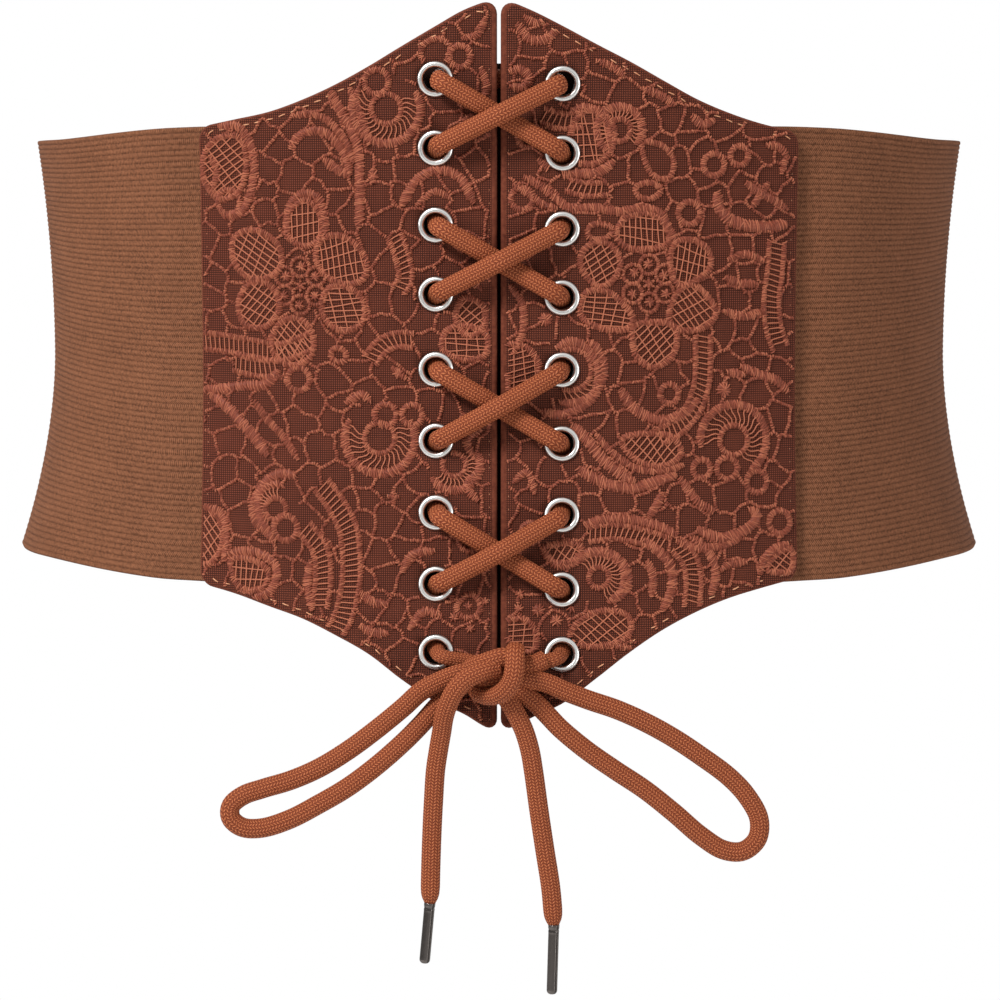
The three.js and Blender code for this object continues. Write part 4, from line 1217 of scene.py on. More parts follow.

# %% [markdown]
# ## The lace
# The panels are covered with corded lace of a traditional kind: flowers, scrolls and
# shells edged with thick satin stitch, filled with fine nets, and joined by thin
# whipped threads called brides. On a real one the pattern is stitched by machine on a
# ground that is washed away. Here it is charted in a few kinds of motif, with
# places in millimetres: across from the middle of the belt, and height.
# The widths that belong to each kind are named beside the charts.
# "satin" is an open band with its half width, "petals" are closed bands filled with
# a net, "cells" are closed bands left open, "rings" and "shells" have a round hole,
# and a shell has a fan of threads round it from one compass turn to another.
# "ladders" are two narrow bands with rungs between, "hearts" are the six small cells
# and the star in a flower's middle, and "dots" are small knots of thread.

# %% Lace charts
satin_share = 0.84
petal_swell, petal_half = 1.13, 0.95
cell_half = 0.85
ring_half_width = 0.9
shell_inner_half, shell_outer_half, shell_turn = 0.8, 1.25, 13.0
ladder_half = 0.8
net_gap = 2.1
chart_left = {
    "satin": [
        (1.7, [(47, 75.5), (44.5, 71), (41.5, 66), (39.3, 60), (38.8, 52), (38.8, 44), (39, 38)]),
        (1.5, [(41.5, 76.5), (39.5, 72), (37.5, 66), (36, 61)]),
        (1.3, [(57.5, 69), (52, 69.5), (47, 67), (42.5, 61.5), (40.5, 56)]),
        (1.5, [(58.5, 60), (56, 63.5), (51, 65), (46.5, 63), (43, 58), (41.5, 52.5)]),
        (1.6, [(49, 57), (45, 54), (41.7, 52.6)]),
        (1.5, [(35, 54.5), (35, 50.5)]),
        (1.6, [(80, 66), (74, 66), (70, 60), (69.5, 53), (71, 46.5), (74, 42), (79, 41)]),
        (1.3, [(83, 58), (81, 54), (82, 49)]),
        (1.5, [(60, 35), (59.5, 42), (57.5, 46), (54, 47.5), (50.5, 46), (49, 41), (49, 35)]),
        (1.7, [(86, -8), (80, -7.5), (73, -6.5), (66.5, -6), (62.5, -2)]),
        (1.9, [(84, -9), (78, -13), (73, -18), (69, -22), (66, -26)]),
        (1.3, [(70, -11), (66, -16), (61, -21), (57, -27)]),
        (1.6, [(27, 44), (23, 51), (17, 54), (11, 52), (7, 45)]),
        (1.1, [(23, 44), (18, 48), (13, 46)]),
        (1.4, [(30, -1), (26, -4)]),
        (1.5, [(43, -11), (38.5, -8.5), (36, -10.5)]),
        (1.7, [(57.5, -31.5), (62, -31), (67, -34), (69, -39), (67, -46), (63.5, -50)]),
        (1.6, [(84, -41), (80, -43), (78.5, -49), (79, -56)]),
        (1.6, [(78, -54), (72, -53), (66, -54.5), (63, -58), (65, -64), (70, -66)]),
        (1.5, [(53, -55), (54, -62), (52.5, -69)]),
        (1.6, [(39, -64), (35, -66.5), (31, -67)]),
        (1.6, [(39, -73), (35, -75), (31, -75)]),
        (1.5, [(27, -58), (24, -53), (18, -52)]),
        (1.5, [(25, -74), (21, -69), (16, -70)]),
        (1.3, [(3.6, 95.7), (6, 91), (10, 90)]),
        (1.3, [(5, 82), (3.4, 77), (4.6, 72)]),
        (1.3, [(61, 74), (58, 71.5)]),
        (1.2, [(31, -37), (28, -37)]),
        (1.2, [(29.5, -35), (29.5, -39.5)]),
        (1.4, [(33, 90.5), (29, 91.5), (25, 94)]),
        (1.3, [(14, 36), (10, 32), (7, 34)]),
        (1.4, [(6, -30), (9, -34), (6, -38)]),
        (1.4, [(5, -18), (9, -21), (7, -26)]),
        (1.2, [(5, 21), (8, 24), (6, 28)])],
    "petals": [
        [(70, 36.5), (75, 34.5), (75.5, 29.5), (72, 25), (66.5, 24.5), (62.5, 27.5), (63.5, 33)],
        [(50, 33), (47, 35), (42, 34), (38, 29), (38.5, 24.5), (43, 23), (48, 25), (50.5, 28.5)],
        [(74, 16.5), (72.5, 11.5), (68, 10.5), (64, 13), (63, 17.5), (66, 21.5), (71, 21.5)],
        [(49, 18), (48.5, 13), (44, 10), (39, 12), (38.5, 17), (42, 20.5), (46.5, 21)],
        [(63, 9), (64, 4.5), (61, 0.8), (57, 0.4), (53.5, 3), (53.3, 8), (56, 11.5), (60.5, 11.5)],
        [(59, 36), (58.5, 42), (54.5, 45), (51, 42), (50.5, 36), (54.5, 33.5)],
        [(9.5, 18), (11.5, 13), (8.5, 8.5), (4.8, 10.5), (4.6, 15.5)],
        [(14, 9), (15, 4.5), (10, 1.8), (4.5, 3), (4.2, 8), (9, 10.2)],
        [(86, -42), (81, -45), (80, -51), (83, -56), (86, -56)],
        [(76, -56), (70, -56), (66, -59), (68, -63), (74, -62.5)],
        [(80, 62), (74, 62), (72.5, 55), (75, 48.5), (80, 47), (84, 51), (84, 58)]],
    "cells": [
        [(47, 3.5), (45.4, 4.6), (43.2, 3.2), (43, 1), (45, 0.4), (47, 1.4)],
        [(21, 88), (17, 90), (13.5, 88), (14, 84), (18, 82.8), (21.4, 84.6)],
        [(11, -66), (8, -64), (5.4, -66), (6, -69.8), (9.6, -70.6), (11.8, -68.6)]],
    "rings": [(10.8, 85.1, 2.1), (33.9, 78.2, 2.5), (77.3, 45.1, 2.6), (56.8, -4.5, 2.4),
              (31.75, -14.2, 2.2), (24.25, -14.2, 2.0), (60.5, -46.3, 2.6), (8, -49, 2.2),
              (52, 83, 1.6), (7.5, 66, 1.8)],
    "shells": [(31.2, 70.8, 3.5, 9.5, 150, 395), (33.4, -20.7, 3.6, 10.0, 150, 390),
               (63.5, -41, 2.4, 7.0, -60, 110), (12.5, -28, 2.6, 7.2, 150, 330)],
    "ladders": [
        (4.6, [(87, 6), (79, 5.3), (70, 4), (62, 3), (53, 6.2)]),
        (4.0, [(36, 1), (33, 4.8), (28.5, 6.8), (24, 6.6)]),
        (3.8, [(29, 36), (27, 30), (26, 24), (28, 20.5)]),
        (5.0, [(50, -34), (45.5, -40), (42.5, -46), (41.5, -53), (41.5, -60), (43.5, -70), (46, -75)]),
        (4.6, [(76, 0), (69, -1.5), (62, -1.5)]),
        (4.4, [(55, -46), (50.5, -52), (49.5, -60), (50.5, -68)])],
    "hearts": [(56.0, 21.7)],
    "dots": [(55.5, 27.1, 1.5), (60.1, 24.4, 1.5), (51.6, 24.4, 1.5), (60.8, 18.9, 1.4),
             (51.8, 18.9, 1.4), (56.3, 16.3, 1.4), (13.3, -64.8, 1.3), (12.4, -70.4, 1.4),
             (8, -73.5, 1.3), (4, -66, 1.2), (8.6, -67.3, 1.2), (35, 52.5, 1.5), (28, -2.5, 1.6)]}
chart_right = {
    "satin": [
        (1.6, [(5, 94), (8, 90), (12, 89.5), (16, 92)]),
        (1.3, [(7, 96), (10, 94), (13, 95)]),
        (1.6, [(3, 81), (6, 81.5), (8.5, 79), (6.5, 76.5), (3, 77)]),
        (1.5, [(20, 70.5), (25, 71), (30, 67), (31, 61)]),
        (1.7, [(11, 57), (14, 54.5), (18, 53), (23, 53), (28, 53.5), (32, 56.5)]),
        (1.5, [(7, 52), (11, 50), (15, 47), (19, 43.8), (27, 43.5), (34, 42.5), (40, 43.5), (45, 42),
               (48, 37), (50, 33)]),
        (1.3, [(4, 50), (8, 47.5), (12, 44.5), (16, 43.5)]),
        (1.6, [(54, 69), (57, 66.5), (60.5, 68)]),
        (1.4, [(40, 76.5), (45, 74.5), (49, 72)]),
        (1.3, [(27, 84), (31, 82.5), (35, 79.5)]),
        (1.5, [(70, 50.5), (74, 48), (79, 45.5), (83, 43)]),
        (1.4, [(77, 50.5), (74.5, 47), (72, 43.5)]),
        (2.0, [(61.5, 48), (62, 44), (65, 40.5), (70, 38.7), (77, 38.2), (83, 39)]),
        (1.4, [(65, 29), (70, 30.5), (76, 28.5)]),
        (1.5, [(64, 14.5), (70, 13), (76, 14.5)]),
        (1.5, [(64, 24), (68, 22.5), (74, 22)]),
        (1.8, [(34, -7), (37, -11.5), (41.5, -14.7), (47, -15.8), (52, -14), (56.5, -10)]),
        (1.6, [(65, -2.5), (70, -3.5)]),
        (1.6, [(69, -1), (75, -3.5), (80, -5), (84, -8.5)]),
        (1.6, [(16, 4.5), (20.5, 6.3), (25.5, 3.5), (27.7, -2), (27, -8), (23, -12), (17, -14), (12, -13)]),
        (1.3, [(3, 22), (6, 18), (7, 12), (6.3, 8), (4, 3)]),
        (1.9, [(20.5, -17), (25, -21.5), (29, -26.5), (34, -30.5), (38, -33)]),
        (1.3, [(27, -19.5), (32, -25), (38, -29), (45, -30), (52, -28.5)]),
        (1.9, [(22, -29), (27, -32), (32, -34), (38, -34.7), (44, -33), (50, -31)]),
        (1.7, [(24, -45), (28, -43.7), (33, -43.2), (39, -43.8), (45, -45.5), (50, -48)]),
        (1.6, [(42, -43), (44.5, -39.5), (46, -36)]),
        (1.5, [(51, -32), (54, -36), (57, -39.5), (61, -41.5)]),
        (1.8, [(56, -46.5), (62, -49), (68, -48), (72.5, -45.5), (74, -42.5), (71.5, -41.3)]),
        (1.5, [(50, -49.5), (56, -51.8), (63, -51.2), (69, -49.2)]),
        (1.7, [(20.5, -55), (25, -52.7), (31, -53.2), (35.5, -57), (36, -62), (32.5, -66)]),
        (1.5, [(41.5, -55), (43.3, -59), (43, -65)]),
        (1.7, [(40, -49), (45, -52.5), (48.5, -57), (48.7, -63), (46, -69)]),
        (1.6, [(54, -48.5), (59.5, -53), (61.5, -59), (60, -65)]),
        (1.4, [(63, -58), (66, -56.3), (70.5, -56)]),
        (1.6, [(83.5, -51.3), (79.5, -52.5), (76, -55.5), (74.5, -59.5)]),
        (1.3, [(12, -51.5), (16, -56), (21, -56)]),
        (1.3, [(32, -78.5), (37, -79)]),
        (1.3, [(4, -33), (8, -30), (10, -36)]),
        (1.3, [(82.5, 58), (81, 53)]),
        (1.4, [(76, 61), (80, 60.5), (83, 57.5)])],
    "petals": [
        [(24.3, 31.5), (27.5, 33.5), (31.5, 32), (33.3, 28), (31, 23.6), (28, 22.4), (24.7, 25),
         (23.2, 28.5)],
        [(50, 33.3), (55, 33.7), (58.7, 31), (59, 27), (55, 23.7), (51, 22.6), (48.8, 27)],
        [(50.2, 18.6), (54, 21.4), (58.8, 18), (60.7, 14), (58, 10.8), (51.4, 10), (48.7, 12.7)],
        [(25, 19.3), (30, 19.7), (34.8, 16), (36.8, 12.3), (35, 10.3), (28, 10.8), (23.7, 13.8)],
        [(38.2, 9.8), (48.6, 9.8), (49, 4), (47, 1.2), (43, -0.3), (39.2, 2.2), (38.2, 6)],
        [(33.5, 36), (36, 40.3), (42, 41.3), (45.8, 38.6), (46.7, 34.2), (42, 32.6), (36.4, 33)],
        [(21, -75.5), (24, -71.2), (30, -69.3), (35.6, -71), (35.8, -75), (31, -77.7), (24, -77.8)],
        [(3, -72), (7, -71.5), (10, -75), (9.5, -79), (5, -79), (3, -76)],
        [(35.5, -21.5), (40, -27), (46.6, -28), (50.6, -25), (48.8, -21.4), (43.6, -20)],
        [(21, 58), (21.6, 67), (26.5, 70), (31, 66), (30.6, 60), (26, 56.4)],
        [(84, -53), (80, -54.4), (77.4, -58), (84, -58.6)],
        [(3, 4.5), (7.5, 4), (10.5, 0), (9.5, -6), (4, -8.6), (3, -3)],
        [(13, -51.5), (22, -50.6), (22.4, -53.6), (16, -55)]],
    "cells": [
        [(40, 61.5), (45.5, 60.7), (48.8, 57), (47.6, 51.8), (43.2, 52.4), (40.6, 57)],
        [(25, 35.5), (29.5, 35), (32, 37.3), (29, 39), (25.4, 38.6)],
        [(38, 49), (42, 50.5), (45.4, 48.6), (43, 46.2), (39.4, 46.4)]],
    "rings": [(60.5, 55.5, 2.2), (53.5, 42, 2.3), (81, -45.2, 2.4), (74, -33.6, 2.2), (65, -29.6, 2.2),
              (57.5, -29.6, 1.7), (48, -8.5, 1.8), (6.4, 46, 2.2), (8, 63, 1.8), (68, 58, 1.8),
              (9, -47, 1.9)],
    "shells": [(33.5, 65, 2.4, 6.4, -40, 250), (67, -21.7, 3.5, 10.0, -60, 190),
               (28, -59.5, 2.2, 7.4, -70, 150), (20, -1.5, 5.2, 9.4, -110, 60)],
    "ladders": [
        (4.4, [(57.8, 8), (57.8, 0), (57.4, -6), (54.8, -13), (50, -18), (45, -20.5)]),
        (4.8, [(80, 34), (79.5, 26), (78.5, 18), (79.2, 10), (81.5, 4)]),
        (4.2, [(12, 69), (17, 67.5), (23, 67.8)]),
        (4.0, [(25, -47.6), (32, -46.8), (40, -48.2), (47, -50.5)]),
        (4.4, [(50.5, -51), (54, -55.5), (55, -61), (54.5, -68)]),
        (3.6, [(19, 49.8), (24, 48.6), (30, 48.8)])],
    "hearts": [(42.0, 22.4)],
    "dots": [(37.8, 25.6, 1.5), (41.8, 27.9, 1.5), (46.1, 24.6, 1.5), (46.9, 19.6, 1.4), (42.2, 17.3, 1.5),
             (37.3, 19.5, 1.4), (64, -7.5, 2.2), (13, 12.5, 2.0), (11, -68.5, 1.8), (16, -71.4, 1.7),
             (20.3, -68, 1.5), (15, -65.8, 1.5), (6, -64, 1.4), (5.5, -68, 1.4)]}
for chart in (chart_left, chart_right):
    print({kind: len(rows) for kind, rows in chart.items()})

# %% [markdown]
# ### From chart to lines
# Every motif becomes lines of three kinds: satin bands, whose points carry half the
# band's width, fine net threads, and brides. The nets are two sets of slightly
# slanting parallel threads cut off at the petal's edge. Areas that a motif covers are
# kept, so that no bride runs across them.

# %% Motifs to lines
def clip_runs(line, keep, least):
    runs, start = [], None
    for i, ok in enumerate(list(keep) + [False]):
        if ok and start is None:
            start = i
        if not ok and start is not None:
            if i - start >= least:
                runs.append(line[start:i])
            start = None
    return runs


def net(ring, gap, lean):
    low, high = ring.min(axis=0), ring.max(axis=0)
    middle, reach = (low + high) / 2, np.linalg.norm(high - low)
    rng = np.random.default_rng(len(ring))
    threads = []
    for angle, spacing in ((lean, gap * 0.75), (lean + 82, gap * 1.4)):
        for k in np.arange(-reach / 2, reach / 2, spacing) + rng.normal(0, 0.25):
            turn = math.radians(angle + rng.normal(0, 3.5))
            ahead = np.array([math.cos(turn), math.sin(turn)])
            aside = np.array([-ahead[1], ahead[0]])
            t = np.linspace(-reach / 2, reach / 2, int(reach / 0.5))[:, None]
            line = middle + aside * k * (1 + 0.002 * t ** 2) + ahead * t
            threads += clip_runs(line, inside(line, ring), 3)
    return threads


def chart_lines(chart, side):
    flip = np.array([side, 1.0])
    satin, threads, covered, closed = [], [], [], set()

    def band(points, half, loop=False):
        line = smooth_line(np.array(points, float), 0.5, closed=loop)
        if loop:
            closed.add(len(satin))
        taper = np.ones(len(line))
        if not loop:
            ends = np.minimum(np.arange(len(line)), np.arange(len(line))[::-1]) * 0.5
            taper = 0.55 + 0.45 * np.clip(ends / 2.0, 0, 1)
        satin.append((line, half * taper))
        return line

    for half, points in chart["satin"]:
        band(points, half * satin_share)
    for x, z in chart["hearts"]:
        for turn in np.radians(np.arange(30, 390, 60)):
            ahead = np.array([np.cos(turn), np.sin(turn)])
            band(circle(np.array([x, z]) + ahead * 5.3, 2.7, 10), 0.55, loop=True)
            band(np.array([x, z]) + ahead * np.array([[-1.2], [0.2], [1.6]]), 0.6)
        covered.append(circle((x, z), 8.0, 24))
    for number, points in enumerate(chart["petals"]):
        middle = np.mean(points, axis=0)
        line = band(middle + (points - middle) * petal_swell, petal_half, loop=True)
        threads += net(line, net_gap, (35 + 47 * number) % 180)
        covered.append(line)
    for points in chart["cells"]:
        covered.append(band(points, cell_half, loop=True))
    for x, z, hole in chart["rings"]:
        covered.append(band(circle((x, z), hole + 0.9, 10), ring_half_width, loop=True))
    for x, z, hole, outer, first, last in chart["shells"]:
        band(circle((x, z), hole + 0.7, 12), shell_inner_half, loop=True)
        turn = np.radians(np.linspace(first, last, 12))
        band(np.stack([x + outer * np.cos(turn), z + outer * np.sin(turn)], 1), shell_outer_half)
        for angle in np.radians(np.arange(first + 6, last - 2, shell_turn)):
            r = np.arange(hole + 1.2, outer - 0.6, 0.5)[:, None]
            bend = angle + 0.12 * np.sin(r * 0.9)
            threads.append(np.hstack([x + r * np.cos(bend), z + r * np.sin(bend)]))
        covered.append(circle((x, z), outer, 24))
    for gap, points in chart["ladders"]:
        line = smooth_line(np.array(points, float), 0.5)
        ahead = np.gradient(line, axis=0)
        ahead /= np.linalg.norm(ahead, axis=1)[:, None]
        aside = np.stack([-ahead[:, 1], ahead[:, 0]], axis=1)
        for sign in (-1, 1):
            satin.append((line + aside * sign * gap / 2, np.full(len(line), ladder_half)))
        for i in range(1, len(line) - 1, 3):
            cross = np.linspace(-gap / 2, gap / 2, 9)[:, None]
            threads.append(line[i] + aside[i] * cross + ahead[i] * 0.8 * (cross / gap))
        covered.append(np.vstack([line + aside * gap / 2, (line - aside * gap / 2)[::-1]]))
    for x, z, r in chart["dots"]:
        band(circle((x, z), r * 0.42, 8), r * 0.6, loop=True)
    satin = [(line * flip, half) for line, half in satin]
    return satin, [t * flip for t in threads], [c * flip for c in covered], closed


# %% [markdown]
# ### Brides
# Between the motifs the whipped threads make irregular cells about 8 mm wide. Points
# are scattered on a jittered grid with a fixed seed, and the lines halfway between
# neighbours (a Voronoi pattern, found from the triangulation of the points) are the
# brides. They wander a little, and stop where they run under a satin band, into a
# motif, at an eyelet or at the pressed edge.

# %% Brides
bride_cell = 8.2


def voronoi_edges(side, spacing, seed):
    rng = np.random.default_rng(seed)
    rows = []
    for j, z in enumerate(np.arange(-110, 112, spacing * 0.87)):
        for x in np.arange(-6, 96, spacing):
            rows.append((side * (x + spacing / 2 * (j % 2)), z))
    points = np.array(rows) + rng.uniform(-0.36, 0.36, (len(rows), 2)) * spacing
    _, _, faces, *_ = delaunay_2d_cdt([Vector(p) for p in points], [], [], 0, 1e-6)
    centres, sharing = [], {}
    for number, (a, b, c) in enumerate(faces):
        p, q, r = points[a], points[b], points[c]
        d = 2 * (p[0] * (q[1] - r[1]) + q[0] * (r[1] - p[1]) + r[0] * (p[1] - q[1]))
        pp, qq, rr = [v.dot(v) for v in (p, q, r)]
        x = (pp * (q[1] - r[1]) + qq * (r[1] - p[1]) + rr * (p[1] - q[1])) / d
        z = (pp * (r[0] - q[0]) + qq * (p[0] - r[0]) + rr * (q[0] - p[0])) / d
        centres.append((x, z))
        for edge in ((a, b), (b, c), (c, a)):
            sharing.setdefault(tuple(sorted(edge)), []).append(number)
    return [(np.array(centres[s[0]]), np.array(centres[s[1]])) for s in sharing.values() if len(s) == 2]


def on_cloth(points, side, gap):
    return inside(points, inset(outlines[side], gap)) & (np.abs(points[:, 0]) > half_gap + 2.0)


def clear_of_eyelets(points, side, gap):
    keep = np.ones(len(points), bool)
    for row in eyelet_rows:
        centre = np.array([side * eyelet_along, eyelet_z(side, row)])
        keep &= np.linalg.norm(points - centre, axis=1) > gap
    return keep


def brides(side, satin, covered, seed):
    rng = np.random.default_rng(seed)
    bands = np.vstack([np.column_stack([line, half]) for line, half in satin])
    lines = []
    for a, b in voronoi_edges(side, bride_cell, seed):
        size = np.linalg.norm(b - a)
        if not 0.8 < size < 30:
            continue
        t = np.linspace(0, 1, max(3, int(size / 0.45)))[:, None]
        aside = np.array([-(b - a)[1], (b - a)[0]]) / size
        sway = np.sin(np.pi * t) * rng.normal(0, 0.5) + np.sin(3 * np.pi * t) * rng.normal(0, 0.18)
        lines.append(a + (b - a) * t + aside * sway)
    every = np.vstack(lines)
    keep = on_cloth(every, side, 1.2) & clear_of_eyelets(every, side, 5.4)
    for ring in covered:
        keep &= ~inside(every, ring)
    for part in np.array_split(np.arange(len(every)), 12):
        gap = np.linalg.norm(every[part][:, None] - bands[None, :, :2], axis=2) - bands[None, :, 2] * 0.55
        keep[part] &= gap.min(axis=1) > 0
    runs, start = [], 0
    for line in lines:
        runs += clip_runs(line, keep[start:start + len(line)], 3)
        start += len(line)
    return runs


# %% [markdown]
# ### Stitching it
# One tree does both the satin bands and the brides. It spaces points along each line
# by the stitch's pitch, and at each puts one stitch: a thread that arches from one
# edge of the band to the other. Most lean a little, a few lie far across the others,
# and lengths and places vary, which leaves the ragged edge of real embroidery. Under
# the stitches lies a flattened cord, which fills the band as the real padding does.

# %% Satin stitch tree
stitch_tree, given = start_tree("Satin stitch", [
    ("Pitch", "NodeSocketFloat", 0.6), ("Height", "NodeSocketFloat", 0.62),
    ("Thread", "NodeSocketFloat", 0.25), ("Ragged", "NodeSocketFloat", 0.7),
    ("Seed", "NodeSocketInt", 7)])
curve = add(stitch_tree, "GeometryNodeMeshToCurve", inputs={"Mesh": given["Geometry"]})
spaced = add(stitch_tree, "GeometryNodeResampleCurve", {"mode": "LENGTH"}, {
    "Curve": curve.outputs[0], "Length": given["Pitch"]})
half = add(stitch_tree, "GeometryNodeInputNamedAttribute", {"data_type": "FLOAT"}, {"Name": "half"})
crest = add(stitch_tree, "ShaderNodeMath", {"operation": "MULTIPLY"}, {0: given["Height"], 1: 2.0})
middle = add(stitch_tree, "ShaderNodeCombineXYZ", inputs={"Z": crest.outputs[0]})
arch = add(stitch_tree, "GeometryNodeCurveQuadraticBezier", inputs={
    "Resolution": 3, "Start": (0, -1, 0), "Middle": middle.outputs[0], "End": (0, 1, 0)})
ply = add(stitch_tree, "GeometryNodeCurvePrimitiveCircle", inputs={
    "Resolution": 4, "Radius": given["Thread"]})
one = add(stitch_tree, "GeometryNodeCurveToMesh", inputs={
    "Curve": arch.outputs[0], "Profile Curve": ply.outputs[0], "Fill Caps": True})
tangent = add(stitch_tree, "GeometryNodeInputTangent")
along = add(stitch_tree, "FunctionNodeAlignRotationToVector", {"axis": "X", "pivot_axis": "Z"}, {
    "Vector": tangent.outputs[0]})
chance = add(stitch_tree, "FunctionNodeRandomValue", {"data_type": "FLOAT"}, {
    2: -1.0, 3: 1.0, "Seed": given["Seed"]})
rare = add(stitch_tree, "ShaderNodeMath", {"operation": "POWER"}, {0: chance.outputs[1], 1: 3.0})
swing = add(stitch_tree, "ShaderNodeMath", {"operation": "MULTIPLY_ADD"}, {
    0: rare.outputs[0], 1: given["Ragged"], 2: 0.22})
around = add(stitch_tree, "ShaderNodeCombineXYZ", inputs={"Z": swing.outputs[0]})
turned = add(stitch_tree, "FunctionNodeEulerToRotation", inputs={"Euler": around.outputs[0]})
final = add(stitch_tree, "FunctionNodeRotateRotation", {"rotation_space": "LOCAL"}, {
    "Rotation": along.outputs[0], "Rotate By": turned.outputs[0]})
longer = add(stitch_tree, "FunctionNodeRandomValue", {"data_type": "FLOAT"}, {2: 0.9, 3: 1.12})
wide = add(stitch_tree, "ShaderNodeMath", {"operation": "MULTIPLY"}, {
    0: half.outputs[0], 1: longer.outputs[1]})
tall = add(stitch_tree, "FunctionNodeRandomValue", {"data_type": "FLOAT"}, {2: 0.85, 3: 1.15})
scale = add(stitch_tree, "ShaderNodeCombineXYZ", inputs={
    "X": 1.0, "Y": wide.outputs[0], "Z": tall.outputs[1]})
stitches = add(stitch_tree, "GeometryNodeInstanceOnPoints", inputs={
    "Points": spaced.outputs[0], "Instance": one.outputs[0], "Rotation": final.outputs[0],
    "Scale": scale.outputs[0]})
shift = add(stitch_tree, "FunctionNodeRandomValue", {"data_type": "FLOAT_VECTOR"}, {
    0: (-0.12, -0.1, -0.05), 1: (0.12, 0.1, 0.06)})
nudged = add(stitch_tree, "GeometryNodeSetPosition", inputs={
    "Geometry": stitches.outputs[0], "Offset": shift.outputs[0]})
tone = add(stitch_tree, "FunctionNodeRandomValue", {"data_type": "FLOAT"}, {2: 0.35, 3: 0.9, "Seed": 2})
toned = add(stitch_tree, "GeometryNodeStoreNamedAttribute", {"data_type": "FLOAT", "domain": "INSTANCE"}, {
    "Geometry": nudged.outputs[0], "Name": "tone", "Value": tone.outputs[1]})
lain = add(stitch_tree, "GeometryNodeCurvePrimitiveCircle", inputs={"Resolution": 6, "Radius": 0.94})
flat = add(stitch_tree, "GeometryNodeTransform", inputs={
    "Geometry": lain.outputs[0], "Scale": (1.0, 0.39, 1.0)})
coarse = add(stitch_tree, "GeometryNodeResampleCurve", {"mode": "LENGTH"}, {
    "Curve": curve.outputs[0], "Length": 0.9})
upright = add(stitch_tree, "GeometryNodeSetCurveNormal", {"mode": "Z_UP"}, {"Curve": coarse.outputs[0]})
core = add(stitch_tree, "GeometryNodeCurveToMesh", inputs={
    "Curve": upright.outputs[0], "Profile Curve": flat.outputs[0], "Scale": half.outputs[0],
    "Fill Caps": True})
# The padding cord gets a low tone: painted shade under the stitches.
painted_shade_core = add(stitch_tree, "GeometryNodeStoreNamedAttribute", {"data_type": "FLOAT", "domain": "POINT"}, {
    "Geometry": core.outputs[0], "Name": "tone", "Value": 0.3})
joined = add(stitch_tree, "GeometryNodeJoinGeometry", inputs={"Geometry": toned.outputs[0]})
stitch_tree.links.new(painted_shade_core.outputs[0], joined.inputs[0])
end_tree(stitch_tree, joined.outputs[0], thread)

# %% [markdown]
# The net threads need no stitches: a second, smaller tree sweeps a thin round thread
# along them.

# %% Thread tree
thread_tree, given = start_tree("Fine thread", [("Thread", "NodeSocketFloat", 0.2)])
curve = add(thread_tree, "GeometryNodeMeshToCurve", inputs={"Mesh": given["Geometry"]})
spaced = add(thread_tree, "GeometryNodeResampleCurve", {"mode": "LENGTH"}, {
    "Curve": curve.outputs[0], "Length": 1.0})
ply = add(thread_tree, "GeometryNodeCurvePrimitiveCircle", inputs={
    "Resolution": 5, "Radius": given["Thread"]})
swept = add(thread_tree, "GeometryNodeCurveToMesh", inputs={
    "Curve": spaced.outputs[0], "Profile Curve": ply.outputs[0], "Fill Caps": True})
toned = add(thread_tree, "GeometryNodeStoreNamedAttribute", {"data_type": "FLOAT", "domain": "POINT"}, {
    "Geometry": swept.outputs[0], "Name": "tone", "Value": 0.9})
end_tree(thread_tree, toned.outputs[0], thread)

# %% [markdown]
# ### Laying it on the panels
# The trees work on the flat chart. Their result is laid on the belt by the same
# function as the panel itself, so it follows the curve of the waist exactly. `stitched`
# takes the lines of one kind through their tree and lays the result on a panel.

# %% Making the lace
stitch_values = {"Pitch": 0.5, "Height": 0.6, "Thread": 0.19}
bride_values = {"Pitch": 0.64, "Height": 0.46, "Thread": 0.22, "Ragged": 1.2}
bride_half = 0.46
net_values = {"Thread": 0.19}
net_height = 0.22


def on_panel(points):
    return worn(points[:, 0], points[:, 1], thickness + points[:, 2])


def stitched(name, source, tree, values):
    made = place_mesh(name, run_nodes(source, tree, values), on_panel)
    made.data.shade_smooth()
    attach(made)


for side, label, chart in ((-1, "left", chart_left), (1, "right", chart_right)):
    satin, threads, covered, closed = chart_lines(chart, side)
    trimmed, halves, loops = [], [], set()
    for number, (line, half) in enumerate(satin):
        keep = on_cloth(line, side, 1.1) & clear_of_eyelets(line, side, 4.9 + half * 0.5)
        if keep.all() and number in closed:
            loops.add(len(trimmed))
        for run in clip_runs(np.column_stack([line, half]), keep, 2 if len(line) == 3 else 4):
            trimmed.append(raised(run[:, :2], 0.0))
            halves.append(run[:, 2])
    source = lines_object(trimmed, {"half": halves}, closed=loops)
    stitched("lace_satin_" + label, source, stitch_tree, {**stitch_values, "Seed": 11 + side})
    joins = brides(side, satin, covered, 40 + side)
    source = lines_object([raised(join, 0.0) for join in joins],
                          {"half": [np.full(len(join), bride_half) for join in joins]})
    stitched("lace_brides_" + label, source, stitch_tree, {**bride_values, "Seed": 21 + side})
    kept = []
    for line in threads:
        keep = on_cloth(line, side, 1.1) & clear_of_eyelets(line, side, 5.0)
        kept += clip_runs(line, keep, 3)
    source = lines_object([raised(line, net_height) for line in kept])
    stitched("lace_net_" + label, source, thread_tree, net_values)

# %% [markdown]
# ## Edge stitching
# A machine seam holds the lace and the turned edge down: stitches a little under
# 2 mm long, about 2 mm inside the edge. A tree sets one short thread at each step of
# a line drawn inside the outline, sinks its ends, and leaves out about one in five,
# where the stitch has sunk into the lace. Along the upright edges it is sunk deeper.

